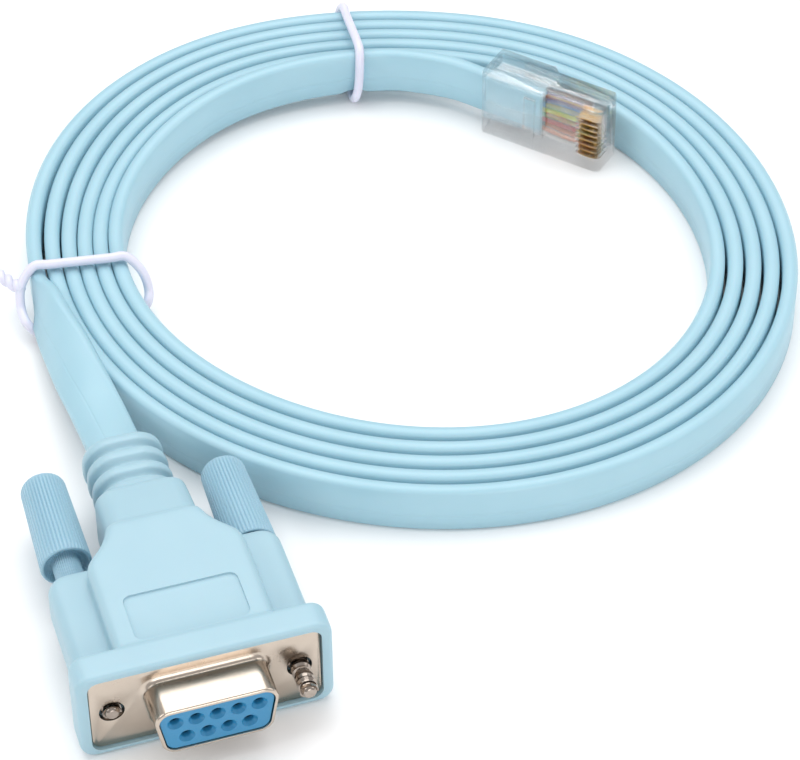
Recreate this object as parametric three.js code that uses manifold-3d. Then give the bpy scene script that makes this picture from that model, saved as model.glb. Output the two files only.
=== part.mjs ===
// Flat console cable: a moulded nine-way D-sub socket with two thumbscrews on one end,
// an 8P8C modular plug on the other, the flat cable wound on edge and held by two twist ties.
// Millimetres, +Z up, the floor at z = 0. The mating face of the connector looks along -Y.
import * as THREE from "three";
import { mergeVertices } from "three/addons/utils/BufferGeometryUtils.js";
import Module from "manifold-3d";

const wasm = await Module();
wasm.setup();

const GAP = 0.3; // clearance left between separate pieces
const PAST = 1; // how far a cut runs past the face that it opens, and a join into the other piece
const DEG = Math.PI / 180;

// Nine-way D-sub shell, to the usual size of its kind
const SCREW_SPACING = 24.99;
const PLATE = { besideHoles: 2.91, height: 12.55, thick: 0.8, corner: 1.4 };
const PLATE_WIDTH = SCREW_SPACING + 2 * PLATE.besideHoles;
const PLATE_HOLE_RADIUS = 1.7;
const SKIRT = { width: 16.33, height: 7.9, reach: 5.9, wall: 0.5, corner: 2.1, slant: 10 * DEG, lip: 0.25 };
const SKIRT_ROOT = { flare: 0.45, reach: 0.5 }; // the drawn bend where the skirt leaves the plate

// Insulator with its sockets
const SOCKET_PITCH = 2.77;
const ROW_SPACING = 2.84;
const UPPER_ROW = 5;
const LOWER_ROW = 4;
const INSULATOR = { recess: 0.2, width: 18.6, height: 10.2, depth: 7.4, corner: 1 };
const MOUTH = { radius: 0.66, sinkRadius: 1.05, sinkDepth: 0.5, lip: 1.2, sides: 10 };
const SOCKET = { radius: 0.8, bore: 0.5, boreDepth: 6, tail: 0.4, sides: 8 };

// Overmoulded hood: flange, two ears, body, collar and grooved boot
const FLANGE = { beside: 1.645, height: 14.8, rim: 0.5, depth: 4.1, corner: 2.2, round: 0.6 };
const EARS = { besideScrews: 3.405, height: 7.6, depth: 21.9, corner: 1.8, round: 2 };
const BODY = { width: 21.4, height: 14.2, shoulder: 18.6, corner: 1.3 };
const COLLAR = {
  width: 12.7,
  start: 26,
  end: 33.6,
  height: 13.4,
  endHeight: 11.4,
  corner: 2.2,
  step: 0.2, // half the length of the step up to the body
  shoulder: 0.96, // share of the narrowing that is done where the step begins
  slope: 0.3, // by which the body is lower there
  round: 0.4,
};
const BOOT = { width: 11.4, height: 9.6, end: 44.5, corner: 4.1, round: 0.5 };
const GROOVES = { first: 36, pitch: 2.95, count: 3, depth: 0.9, floor: 0.5, flank: 0.45 };
const LABEL = { width: 15.4, start: 4.4, length: 8, depth: 0.35, corner: 1.2 };
// Shares of the way back and of the way in, from the body's width to the collar's
const SHOULDER_CURVE = [[0.2, 0.1], [0.45, 0.48], [0.75, 0.82]];
// Shares of the ear's rounding still to go, cut off its sides, and cut off its top and bottom
const EAR_CURVE = [[1, 0, 0], [0.62, 0.08, 0], [0.29, 0.29, 0.04], [0.08, 0.62, 0.14], [0, 0.9, 0.26]];
const EDGE_CURVE = 0.3; // share of a round edge at the middle of its curve

// Thumbscrews: a steel screw with a moulded knob on its back end
const SCREW = {
  length: 35,
  inKnob: 7.8,
  thread: 1.42,
  threadLength: 6.6,
  shank: 1.05,
  point: 0.5,
  bore: 1.75,
  sides: 10,
};
const KNOB = { front: 3.55, rear: 3.15, length: 15.7, bevel: 0.35, round: 1.1, sides: 16 };
const NECK = { radius: 1.9, length: 6.5, bore: 2.6, boreStart: 15.2 };
const PULLED_OUT = 4.4; // how far the left thumbscrew stands back from its seat
const LEFT_LEAN = 1.05 * DEG; // it leans inwards, about its hole in the plate

// Flat cable, wound on edge as an oval spiral
const CABLE = { width: 7.5, thick: 2.2, edge: 0.6 };
const COIL = {
  centreX: 52.6,
  centreY: 57.8,
  radius: 56.5, // to the middle of the outermost turn
  oval: 2.27,
  ovalAngle: 130.8 * DEG,
  pitch: 2.62,
  pitchSwing: 0.2, // the turns lie closer at the back than in front
  pitchAngle: -102 * DEG,
  pinch: 1.1, // the back tie draws the turns inwards
  pinchAngle: 88 * DEG,
  pinchSharpness: 13,
  start: 172 * DEG,
  turns: 5,
  groove: 0.9,
};
const HALF_TURN_STEPS = 24;
const SEAM = 0.003; // share of a turn by which two stretches of the coil run into each other
const SEAM_SIZE = 0.992;
const LAST_TURN = { contact: 0.262, end: 0.31, steps: 14 }; // it climbs to the middle of the plug

// Stretch from the coil to the hood, which turns the cable from on edge to flat
const TAIL_POINTS = [
  [-4, 60, 5.8],
  [-4.05, 55, 6],
  [-3.8, 50, 6.2],
  [-3.35, 45, 6.5],
  [-2.35, 41, 6.7],
  [-0.9, 36, 7],
  [-0.3, 30.5, 7.3],
];
const STRAIGHT = 2; // the cable first runs on as it leaves the coil
const TAIL_STEPS = 20;
const TAIL_TWISTED = 0.95; // share of the way at which the cable lies flat
const PLUG_CABLE_STEPS = 12;

// 8P8C plug, standing on its narrow side inside the coil, its contact face towards the middle
const PLUG = { width: 11.68, length: 20.8, nose: 5.9, rear: 6.9, shoulder: 9.5, chamfer: 0.5 };
const PLUG_ON_COIL = { turn: 4.3284, inside: 9.45, heading: -101.76 * DEG }; // the corner of its rear face
const JACKET_POCKET = { depth: 10.4, low: 1.6 };
const JACKET_IN_PLUG = 9.9;
const WIRE = { radius: 0.35, pitch: 1.02, end: 17.9, sides: 8 };
const BLADE = { start: 16.9, end: 20.1, low: 0.35, thick: 0.3, high: 2.2 };
const BLADE_SLOT = 0.56;
const STRAIN_BAR = { start: 7.4, end: 9.3, depth: 0.8, width: 7.2 };
const CONTACTS = 8;
const LATCH = {
  hinge: 19.1,
  height: 5.85,
  tail: 3.6,
  thick: 0.9,
  width: 5.8,
  tip: 3.3,
  neck: 9.6,
  rise: 6.5 * DEG,
};
const LATCH_CHANNEL = { floor: 5.05, end: 19.5 };

// Twist ties, one coated wire each: angles about the coil of the run above and the run below
const TIE = {
  radius: 0.7,
  steps: 40,
  sides: 6,
  stub: 1.05, // radius of its two ends twisted together
  stubLength: 6,
  ring: 5, // radius of the ring that is bent into the loop
  tightness: 0.4, // by which a bend is smaller than the way round the cable's corner
};
const LEFT_TIE = {
  above: 171 * DEG,
  below: 178 * DEG,
  ease: 0.5,
  slackIn: 0.6,
  slackOut: 0.5,
  stubAt: 13 / 14, // share of the loop at which its ends are twisted together
  heading: 50 * DEG,
};
const BACK_TIE = {
  above: 83.5 * DEG,
  below: 85 * DEG,
  ease: 0,
  slackIn: 0.1,
  slackOut: 0.1,
  stubAt: 12 / 14,
  heading: 70 * DEG,
};

const PLATE_Y = (SKIRT.reach - BOOT.end) / 2; // the connector is centred on the origin
const AXIS_Z = FLANGE.height / 2;

const finish = (color, roughness, metalness = 0, opacity = 1) =>
  new THREE.MeshStandardMaterial({ color, roughness, metalness, opacity, transparent: opacity < 1 });
const SKY_BLUE = finish("#a9d8e6", 0.5);
const NICKEL = finish("#b9aca0", 0.28, 1);
const SOCKET_BLUE = finish("#3f8fcb", 0.35);
const GOLD = finish("#c9a86a", 0.3, 1);
const STEEL = finish("#a89f96", 0.3, 1);
const TIE_WHITE = finish("#dfe0ea", 0.45);
const CLEAR = finish("#e6ecef", 0.1, 0, 0.35);
const WIRE_COLOURS = ["#d3d3cf", "#d9793a", "#26262b", "#c8403a", "#3f9a56", "#d9c93c", "#2f74b5", "#7a4a30"];

const object = new THREE.Group();
const connector = new THREE.Group(); // X across, Y the depth behind the plate's face, Z from the axis
connector.position.set(0, PLATE_Y, AXIS_Z);
object.add(connector);

// A closed geometry as a solid that can be joined and cut
function solid(geometry) {
  const bare = geometry.clone();
  bare.deleteAttribute("normal");
  bare.deleteAttribute("uv");
  const merged = mergeVertices(bare, 1e-4);
  const vertProperties = new Float32Array(merged.attributes.position.array);
  const triVerts = new Uint32Array(merged.index.array);
  return new wasm.Manifold(new wasm.Mesh({ numProp: 3, vertProperties, triVerts }));
}

// The geometry of a solid after its joins and cuts
function surface(made) {
  const mesh = made.getMesh();
  const geometry = new THREE.BufferGeometry();
  geometry.setAttribute("position", new THREE.BufferAttribute(mesh.vertProperties, 3));
  geometry.setIndex(new THREE.BufferAttribute(mesh.triVerts, 1));
  geometry.computeVertexNormals();
  return geometry;
}

function addPiece(group, name, made, look) {
  const mesh = new THREE.Mesh(surface(made), look);
  mesh.name = name;
  group.add(mesh);
}

function box(x0, x1, y0, y1, z0, z1) {
  const geometry = new THREE.BoxGeometry(x1 - x0, y1 - y0, z1 - z0);
  return solid(geometry.translate((x0 + x1) / 2, (y0 + y1) / 2, (z0 + z1) / 2));
}

// A solid swept through stations: each point of the outline is placed anew at each station
function swept(outline, stations, place) {
  const steps = stations.length - 1;
  const shape = new THREE.Shape(outline);
  const geometry = new THREE.ExtrudeGeometry(shape, { depth: steps, steps, bevelEnabled: false });
  const position = geometry.attributes.position;
  const vertex = new THREE.Vector3();
  for (let i = 0; i < position.count; i++) {
    vertex.fromBufferAttribute(position, i);
    const index = outline.findIndex((p) => Math.hypot(p.x - vertex.x, p.y - vertex.y) < 1e-4);
    const placed = place(index, stations[Math.round(vertex.z)]);
    position.setXYZ(i, placed.x, placed.y, placed.z);
  }
  return solid(geometry);
}

// A solid along +Y through outlines drawn in X and Z: a list of [depth, outline]
function loft(stations) {
  const backToFront = [...stations].reverse();
  return swept(backToFront[0][1], backToFront, (index, [depth, outline]) => {
    const point = outline[index];
    return new THREE.Vector3(point.x, depth, point.y);
  });
}

// A round solid along +Y: a list of [depth, radius] that starts and ends on the axis, or closes
const turned = (profile, sides, x = 0, z = 0) =>
  solid(
    new THREE.LatheGeometry(
      profile.map(([depth, radius]) => new THREE.Vector2(radius, depth)),
      sides,
    ).translate(x, 0, z),
  );
const ROD_SIDES = 16;
const rod = (x, z, radius, from, to) =>
  turned([[from, 0], [from, radius], [to, radius], [to, 0]], ROD_SIDES, x, z);

// Points of a rectangle with round corners, centred
function roundedRectangle(width, height, radius, segments = 2) {
  const x = width / 2 - radius;
  const y = height / 2 - radius;
  const path = new THREE.Path();
  path.absarc(x, y, radius, 0, 90 * DEG);
  path.absarc(-x, y, radius, 90 * DEG, 180 * DEG);
  path.absarc(-x, -y, radius, 180 * DEG, 270 * DEG);
  path.absarc(x, -y, radius, 270 * DEG, 360 * DEG);
  return path.getPoints(segments);
}

// Points of the shell's D, wide side up; a positive growth draws it larger all round
function dOutline(growth = 0) {
  const { corner, slant } = SKIRT;
  const y = SKIRT.height / 2 - corner;
  const top = SKIRT.width / 2 - corner;
  const bottom = top - 2 * y * Math.tan(slant);
  const path = new THREE.Path();
  path.absarc(top, y, corner + growth, -slant, 90 * DEG);
  path.absarc(-top, y, corner + growth, 90 * DEG, 180 * DEG + slant);
  path.absarc(-bottom, -y, corner + growth, 180 * DEG + slant, 270 * DEG);
  path.absarc(bottom, -y, corner + growth, 270 * DEG, 360 * DEG - slant);
  return path.getPoints(3);
}

// Places of the sockets: the upper row, then the lower one
function socketPlaces() {
  const row = (count, z) => {
    const first = (-(count - 1) * SOCKET_PITCH) / 2;
    return Array.from({ length: count }, (_, i) => [first + i * SOCKET_PITCH, z]);
  };
  return [...row(UPPER_ROW, ROW_SPACING / 2), ...row(LOWER_ROW, -ROW_SPACING / 2)];
}

function makeShell() {
  const face = roundedRectangle(PLATE_WIDTH, PLATE.height, PLATE.corner);
  const plate = loft([[0, face], [PLATE.thick, face]]);
  const skirt = loft([
    [-SKIRT.reach, dOutline(-SKIRT.lip)],
    [-SKIRT.reach + SKIRT.lip, dOutline()],
    [-SKIRT_ROOT.reach, dOutline()],
    [0, dOutline(SKIRT_ROOT.flare)],
    [PLATE.thick / 2, dOutline(SKIRT_ROOT.flare)],
  ]);
  const inside = loft([-SKIRT.reach - PAST, PLATE.thick + PAST].map((d) => [d, dOutline(-SKIRT.wall)]));
  let shell = plate.add(skirt).subtract(inside);
  for (const side of [-1, 1]) {
    const x = (side * SCREW_SPACING) / 2;
    shell = shell.subtract(rod(x, 0, PLATE_HOLE_RADIUS, -PAST, PLATE.thick + PAST));
  }
  addPiece(connector, "connector_shell", shell, NICKEL);
}

function makeInsulator() {
  const face = INSULATOR.recess - SKIRT.reach;
  const back = PLATE.thick + GAP;
  const { width, height, depth, corner } = INSULATOR;
  let insulator = loft([face, back + GAP].map((d) => [d, dOutline(-SKIRT.wall - GAP)]));
  insulator = insulator.add(loft([back, depth].map((d) => [d, roundedRectangle(width, height, corner, 1)])));
  const hole = SOCKET.radius + GAP;
  const seat = face + MOUTH.lip;
  socketPlaces().forEach(([x, z], i) => {
    const way = [
      [face - PAST, 0],
      [face - PAST, MOUTH.sinkRadius],
      [face, MOUTH.sinkRadius],
      [face + MOUTH.sinkDepth, MOUTH.radius],
      [seat, MOUTH.radius],
      [seat, hole],
      [depth + PAST, hole],
      [depth + PAST, 0],
    ];
    insulator = insulator.subtract(turned(way, MOUTH.sides, x, z));
    const front = seat + GAP;
    const rear = depth - SOCKET.tail;
    const contact = [
      [front, SOCKET.bore],
      [front, SOCKET.radius],
      [rear, SOCKET.radius],
      [rear, 0],
      [front + SOCKET.boreDepth, 0],
      [front + SOCKET.boreDepth, SOCKET.bore],
      [front, SOCKET.bore],
    ];
    addPiece(connector, `socket_contact_${i + 1}`, turned(contact, SOCKET.sides, x, z), GOLD);
  });
  addPiece(connector, "socket_insulator", insulator, SOCKET_BLUE);
}

// The boot's stations: full size, with a groove round it at each place
function bootStations() {
  const section = (inset) =>
    roundedRectangle(BOOT.width - 2 * inset, BOOT.height - 2 * inset, BOOT.corner - inset * 0.5);
  const stations = [[COLLAR.end - PAST, section(0)]];
  for (let i = 0; i < GROOVES.count; i++) {
    const middle = GROOVES.first + i * GROOVES.pitch;
    const floor = GROOVES.floor / 2;
    stations.push([middle - floor - GROOVES.flank, section(0)]);
    stations.push([middle - floor, section(GROOVES.depth)]);
    stations.push([middle + floor, section(GROOVES.depth)]);
    stations.push([middle + floor + GROOVES.flank, section(0)]);
  }
  stations.push([BOOT.end - BOOT.round, section(0)]);
  stations.push([BOOT.end, section(BOOT.round)]);
  return stations;
}

function makeHood() {
  const flangeWidth = PLATE_WIDTH + 2 * FLANGE.beside;
  const flangeAt = (inset) =>
    roundedRectangle(flangeWidth - 2 * inset, FLANGE.height - 2 * inset, FLANGE.corner - inset);
  const { round } = FLANGE;
  const flange = loft([
    [-FLANGE.rim, flangeAt(round)],
    [-FLANGE.rim + EDGE_CURVE * round, flangeAt(EDGE_CURVE * round)],
    [-FLANGE.rim + round, flangeAt(0)],
    [FLANGE.depth - round, flangeAt(0)],
    [FLANGE.depth - EDGE_CURVE * round, flangeAt(EDGE_CURVE * round)],
    [FLANGE.depth, flangeAt(round)],
  ]);

  const join = FLANGE.depth - round;
  const wide = (share) => BODY.width - (BODY.width - COLLAR.width) * share;
  const bodyAt = (width, height) => roundedRectangle(width, height, BODY.corner);
  const collarAt = (height, inset) =>
    roundedRectangle(COLLAR.width - 2 * inset, height - 2 * inset, COLLAR.corner);
  const run = COLLAR.start - BODY.shoulder;
  const body = loft([
    [join, bodyAt(BODY.width, BODY.height)],
    [BODY.shoulder, bodyAt(BODY.width, BODY.height)],
    ...SHOULDER_CURVE.map(([back, share]) => [BODY.shoulder + back * run, bodyAt(wide(share), BODY.height)]),
    [COLLAR.start - COLLAR.step, bodyAt(wide(COLLAR.shoulder), BODY.height - COLLAR.slope)],
    [COLLAR.start + COLLAR.step, collarAt(COLLAR.height, 0)],
    [COLLAR.end - COLLAR.round, collarAt(COLLAR.endHeight, 0)],
    [COLLAR.end, collarAt(COLLAR.endHeight, COLLAR.round)],
  ]);

  const earsWidth = SCREW_SPACING + 2 * EARS.besideScrews;
  const earsAt = (sides, low) =>
    roundedRectangle(earsWidth - 2 * sides, EARS.height - 2 * low, EARS.corner - low);
  const ears = loft([
    [join, earsAt(0, 0)],
    ...EAR_CURVE.map(([left, sides, low]) => [
      EARS.depth - left * EARS.round,
      earsAt(sides * EARS.round, low * EARS.round),
    ]),
  ]);

  let hood = flange.add(body).add(ears).add(loft(bootStations()));
  const pocket = roundedRectangle(PLATE_WIDTH + 2 * GAP, PLATE.height + 2 * GAP, PLATE.corner + GAP);
  hood = hood.subtract(loft([-FLANGE.rim - PAST, PLATE.thick + GAP].map((d) => [d, pocket])));
  const { width, height, depth, corner } = INSULATOR;
  const cavity = roundedRectangle(width + 2 * GAP, height + 2 * GAP, corner + GAP, 1);
  hood = hood.subtract(loft([0, depth + GAP].map((d) => [d, cavity])));
  for (const side of [-1, 1]) {
    const x = (side * SCREW_SPACING) / 2;
    hood = hood.subtract(rod(x, 0, SCREW.bore, 0, EARS.depth + PAST));
    hood = hood.subtract(rod(x, 0, NECK.bore, NECK.boreStart, EARS.depth + PAST));
  }
  const label = new THREE.Shape(roundedRectangle(LABEL.width, LABEL.length, LABEL.corner));
  const recess = new THREE.ExtrudeGeometry(label, { depth: LABEL.depth + PAST, bevelEnabled: false });
  recess.translate(0, LABEL.start + LABEL.length / 2, BODY.height / 2 - LABEL.depth);
  addPiece(connector, "connector_hood", hood.subtract(solid(recess)), SKY_BLUE);
}

// One thumbscrew, seated or standing back from its seat, leaning about its hole in the plate
function makeThumbscrew(side, back, lean) {
  const group = new THREE.Group();
  group.position.x = (side * SCREW_SPACING) / 2;
  group.rotation.z = -lean;
  connector.add(group);
  const name = side < 0 ? "thumbscrew_left" : "thumbscrew_right";
  const face = EARS.depth + GAP + back;
  const end = face + KNOB.length;
  const bore = SCREW.shank + GAP;
  const screwEnd = face + SCREW.inKnob;
  const knob = [
    [face - NECK.length, bore],
    [face - NECK.length, NECK.radius],
    [face, NECK.radius],
    [face, KNOB.front - KNOB.bevel],
    [face + KNOB.bevel, KNOB.front],
    [end - KNOB.round, KNOB.rear],
    [end - EDGE_CURVE * KNOB.round, KNOB.rear - EDGE_CURVE * KNOB.round],
    [end, KNOB.rear - KNOB.round],
    [end, 0],
    [screwEnd + GAP, 0],
    [screwEnd + GAP, bore],
    [face - NECK.length, bore],
  ];
  const tip = screwEnd - SCREW.length;
  const screw = [
    [tip, 0],
    [tip, SCREW.thread - SCREW.point],
    [tip + SCREW.point, SCREW.thread],
    [tip + SCREW.threadLength, SCREW.thread],
    [tip + SCREW.threadLength + SCREW.point, SCREW.shank],
    [screwEnd, SCREW.shank],
    [screwEnd, 0],
  ];
  addPiece(group, `${name}_knob`, turned(knob, KNOB.sides), SKY_BLUE);
  addPiece(group, `${name}_screw`, turned(screw, SCREW.sides), STEEL);
}

// Distance from the coil's centre to the middle of the cable, at an angle and a turn from outside
function coilRadius(angle, turn) {
  const oval = COIL.oval * Math.cos(2 * (angle - COIL.ovalAngle));
  const pinch = COIL.pinch * Math.exp((Math.cos(angle - COIL.pinchAngle) - 1) * COIL.pinchSharpness);
  const pitch = COIL.pitch + COIL.pitchSwing * Math.cos(angle - COIL.pitchAngle);
  return COIL.radius + oval - pinch - pitch * turn;
}

const onCoil = (angle, radius, z) =>
  new THREE.Vector3(COIL.centreX + radius * Math.cos(angle), COIL.centreY + radius * Math.sin(angle), z);
const coilAngle = (turn) => COIL.start - 2 * Math.PI * turn;
const middleOfTurn = (turn, z = CABLE.width / 2) =>
  onCoil(coilAngle(turn), coilRadius(coilAngle(turn), turn), z);
const turnsPerMillimetre = 1 / (2 * Math.PI * COIL.radius);

// How far the last turn has climbed off the floor, to meet the plug in its middle
const climb = (turn) =>
  ((PLUG.width - CABLE.width) / 2) * THREE.MathUtils.smoothstep(turn - COIL.turns, 0, LAST_TURN.end);

// The flat cable's section: across its thickness in x, across its width in y, centred
function cableSection() {
  const x = CABLE.thick / 2;
  const y = CABLE.width / 2;
  const { edge } = CABLE;
  const corners = [[x - edge, -y], [x, edge - y], [x, y - edge], [x - edge, y]];
  const points = corners.map(([px, py]) => new THREE.Vector2(px, py));
  return [...points, ...points.map((p) => new THREE.Vector2(-p.x, -p.y))];
}

// The section of all turns side by side: turn counts them inwards, across is measured within one
function turnsSection() {
  const top = CABLE.width / 2;
  const half = CABLE.thick / 2;
  const crown = half - CABLE.edge;
  const upper = [{ turn: 0, across: half, z: top - CABLE.edge }];
  for (let turn = 0; turn < COIL.turns; turn++) {
    if (turn > 0) upper.push({ turn: turn - 0.5, across: 0, z: top - COIL.groove });
    upper.push({ turn, across: crown, z: top }, { turn, across: -crown, z: top });
  }
  upper.push({ turn: COIL.turns - 1, across: -half, z: top - CABLE.edge });
  return [...upper, ...[...upper].reverse().map((p) => ({ ...p, z: -p.z }))];
}

// One stretch of the wound turns, between two shares of a revolution
function coilStretch(stations) {
  const section = turnsSection();
  const outline = section.map((p) => new THREE.Vector2(p.across - p.turn * COIL.pitch, p.z));
  const middle = (COIL.turns - 1) / 2;
  return swept(outline, stations, (index, { turn, size }) => {
    const point = section[index];
    const angle = coilAngle(turn);
    const centre = coilRadius(angle, turn + middle);
    const radius = coilRadius(angle, turn + point.turn) + point.across;
    return onCoil(angle, centre + (radius - centre) * size, CABLE.width / 2 + point.z * size);
  });
}

// Stations from one turn to another; a stretch that joins another starts and ends a little thinner
function coilStations(from, to, steps, joined) {
  const stations = [];
  for (let k = 0; k <= steps; k++) stations.push({ turn: from + ((to - from) * k) / steps, size: 1 });
  if (joined.start) {
    stations[0].turn += SEAM;
    stations.unshift({ turn: from - SEAM, size: SEAM_SIZE });
  }
  if (joined.end) {
    stations[steps + (joined.start ? 1 : 0)].turn -= SEAM;
    stations.push({ turn: to + SEAM, size: SEAM_SIZE });
  }
  return stations;
}

function makeCoil() {
  const { turns } = COIL;
  let coil = coilStretch(coilStations(0, 0.5, HALF_TURN_STEPS, {}));
  coil = coil.add(coilStretch(coilStations(0.5, 1, HALF_TURN_STEPS, { start: true, end: true })));
  const lastTurn = coilStations(turns, turns + LAST_TURN.contact, LAST_TURN.steps, { start: true });
  const outline = cableSection();
  const strip = swept(outline, lastTurn, (index, { turn, size }) => {
    const angle = coilAngle(turn);
    const radius = coilRadius(angle, turn) + outline[index].x * size;
    return onCoil(angle, radius, CABLE.width / 2 + climb(turn) + outline[index].y * size);
  });
  coil = coil.add(strip);
  for (const tie of [LEFT_TIE, BACK_TIE]) {
    const width = 2 * (TIE.radius + GAP);
    const way = new THREE.BoxGeometry(2 * turns * COIL.pitch, width, 2 * width).rotateZ(tie.below);
    const middle = onCoil(tie.below, coilRadius(tie.below, (COIL.turns - 1) / 2), 0);
    coil = coil.subtract(solid(way.translate(middle.x, middle.y, 0)));
  }
  addPiece(object, "cable_coil", coil, SKY_BLUE);
}

// The flat cable along a curve; widthAt gives the direction of its width at a share of the way
function cableAlong(curve, steps, widthAt) {
  const outline = cableSection();
  const stations = Array.from({ length: steps + 1 }, (_, k) => k / steps);
  return swept(outline, stations, (index, share) => {
    const along = curve.getTangentAt(share);
    const across = widthAt(share).projectOnPlane(along).normalize();
    const through = new THREE.Vector3().crossVectors(across, along);
    const { x, y } = outline[index];
    return curve.getPointAt(share).addScaledVector(through, x).addScaledVector(across, y);
  });
}

function makeCableToConnector() {
  const leave = [GAP, STRAIGHT].map((length) => middleOfTurn(-length * turnsPerMillimetre));
  const end = new THREE.Vector3(0, PLATE_Y + BOOT.end + GAP, AXIS_Z);
  const points = TAIL_POINTS.map((p) => new THREE.Vector3(...p));
  const curve = new THREE.CatmullRomCurve3([...leave, ...points, end]);
  const tail = cableAlong(curve, TAIL_STEPS, (share) => {
    const twist = 90 * DEG * THREE.MathUtils.smoothstep(share, 0, TAIL_TWISTED);
    return new THREE.Vector3(Math.sin(twist), 0, Math.cos(twist));
  });
  addPiece(object, "cable_to_connector", tail, SKY_BLUE);
}

// The plug's group: X along the plug from its rear, Y through it from the contact face, Z across it
function placePlug() {
  const angle = coilAngle(PLUG_ON_COIL.turn);
  const corner = onCoil(angle, coilRadius(angle, PLUG_ON_COIL.turn) - PLUG_ON_COIL.inside, 0);
  const plug = new THREE.Group();
  plug.position.copy(corner);
  plug.rotation.z = angle + PLUG_ON_COIL.heading;
  object.add(plug);
  plug.updateMatrixWorld(true);
  return plug;
}

const PLUG_AXIS_Z = PLUG.width / 2;
const JACKET_AXIS = JACKET_POCKET.low + GAP + CABLE.thick / 2;
const contactPlaces = Array.from(
  { length: CONTACTS },
  (_, i) => PLUG_AXIS_Z + (i - (CONTACTS - 1) / 2) * WIRE.pitch,
);

function makeCableToPlug(plug) {
  const from = COIL.turns + LAST_TURN.contact;
  const inPlug = (x) => new THREE.Vector3(x, JACKET_AXIS, PLUG_AXIS_Z).applyMatrix4(plug.matrixWorld);
  const onTurn = (turn) => middleOfTurn(turn, CABLE.width / 2 + climb(turn));
  const bend = -PLUG.length / 3;
  const leave = [GAP, STRAIGHT].map((length) => onTurn(from + length * turnsPerMillimetre));
  const places = [...leave, inPlug(bend), inPlug(0), inPlug(JACKET_IN_PLUG / 2), inPlug(JACKET_IN_PLUG)];
  const up = new THREE.Vector3(0, 0, 1);
  const cable = cableAlong(new THREE.CatmullRomCurve3(places), PLUG_CABLE_STEPS, () => up.clone());
  addPiece(object, "cable_to_plug", cable, SKY_BLUE);
}

function makePlugBody(plug) {
  const { width, length, nose, rear, shoulder, chamfer } = PLUG;
  const side = new THREE.Shape([
    new THREE.Vector2(0, 0),
    new THREE.Vector2(length - chamfer, 0),
    new THREE.Vector2(length, chamfer),
    new THREE.Vector2(length, nose - chamfer),
    new THREE.Vector2(length - chamfer, nose),
    new THREE.Vector2(shoulder + (rear - nose), nose),
    new THREE.Vector2(shoulder, rear),
    new THREE.Vector2(0, rear),
  ]);
  let body = solid(new THREE.ExtrudeGeometry(side, { depth: width, bevelEnabled: false }));
  const across = (half, x0, x1, y0, y1) => box(x0, x1, y0, y1, PLUG_AXIS_Z - half, PLUG_AXIS_Z + half);
  const { depth, low } = JACKET_POCKET;
  const high = low + CABLE.thick + 2 * GAP;
  body = body.subtract(across(CABLE.width / 2 + GAP, -PAST, depth, low, high));
  const wiresHalf = ((CONTACTS - 1) * WIRE.pitch) / 2 + WIRE.radius + GAP / 2;
  const wireGap = WIRE.radius + GAP / 2;
  const wiresEnd = WIRE.end + GAP;
  const [wiresLow, wiresHigh] = [JACKET_AXIS - wireGap, JACKET_AXIS + wireGap];
  body = body.subtract(across(wiresHalf, depth - PAST, wiresEnd, wiresLow, wiresHigh));
  const bar = STRAIN_BAR;
  body = body.subtract(across(bar.width / 2, bar.start, bar.end, -PAST, bar.depth));
  const channel = LATCH.width / 2 + GAP;
  body = body.subtract(across(channel, -PAST, LATCH_CHANNEL.end, LATCH_CHANNEL.floor, rear + PAST));
  const half = BLADE_SLOT / 2;
  const slotEnd = JACKET_AXIS - WIRE.radius;
  for (const z of contactPlaces)
    body = body.subtract(box(BLADE.start - GAP, length + PAST, -PAST, slotEnd, z - half, z + half));
  addPiece(plug, "plug_body", body, CLEAR);
}

function makePlugContacts(plug) {
  contactPlaces.forEach((z, i) => {
    const number = i + 1; // from the lower edge upwards
    const half = BLADE.thick / 2;
    const blade = box(BLADE.start, BLADE.end, BLADE.low, BLADE.high, z - half, z + half);
    addPiece(plug, `plug_contact_${number}`, blade, GOLD);
    const start = JACKET_IN_PLUG + GAP;
    const wire = new THREE.CylinderGeometry(WIRE.radius, WIRE.radius, WIRE.end - start, WIRE.sides);
    wire.rotateZ(90 * DEG).translate((WIRE.end + start) / 2, JACKET_AXIS, z);
    addPiece(plug, `plug_wire_${number}`, solid(wire), finish(WIRE_COLOURS[i], 0.45));
  });
}

// The latch leaves the nose and rises towards the rear, where its narrow tail is pressed
function makePlugLatch(plug) {
  const pivot = new THREE.Group();
  pivot.position.set(LATCH.hinge, LATCH.height, PLUG_AXIS_Z);
  pivot.rotation.z = -LATCH.rise;
  plug.add(pivot);
  const { hinge, neck, tail } = LATCH;
  const thick = LATCH.thick / 2;
  const part = (half, x0, x1) => box(x0 - hinge, x1 - hinge, -thick, thick, -half, half);
  const latch = part(LATCH.width / 2, neck, hinge).add(part(LATCH.tip / 2, tail, neck + PAST));
  addPiece(pivot, "plug_latch", latch, CLEAR);
}

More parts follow.
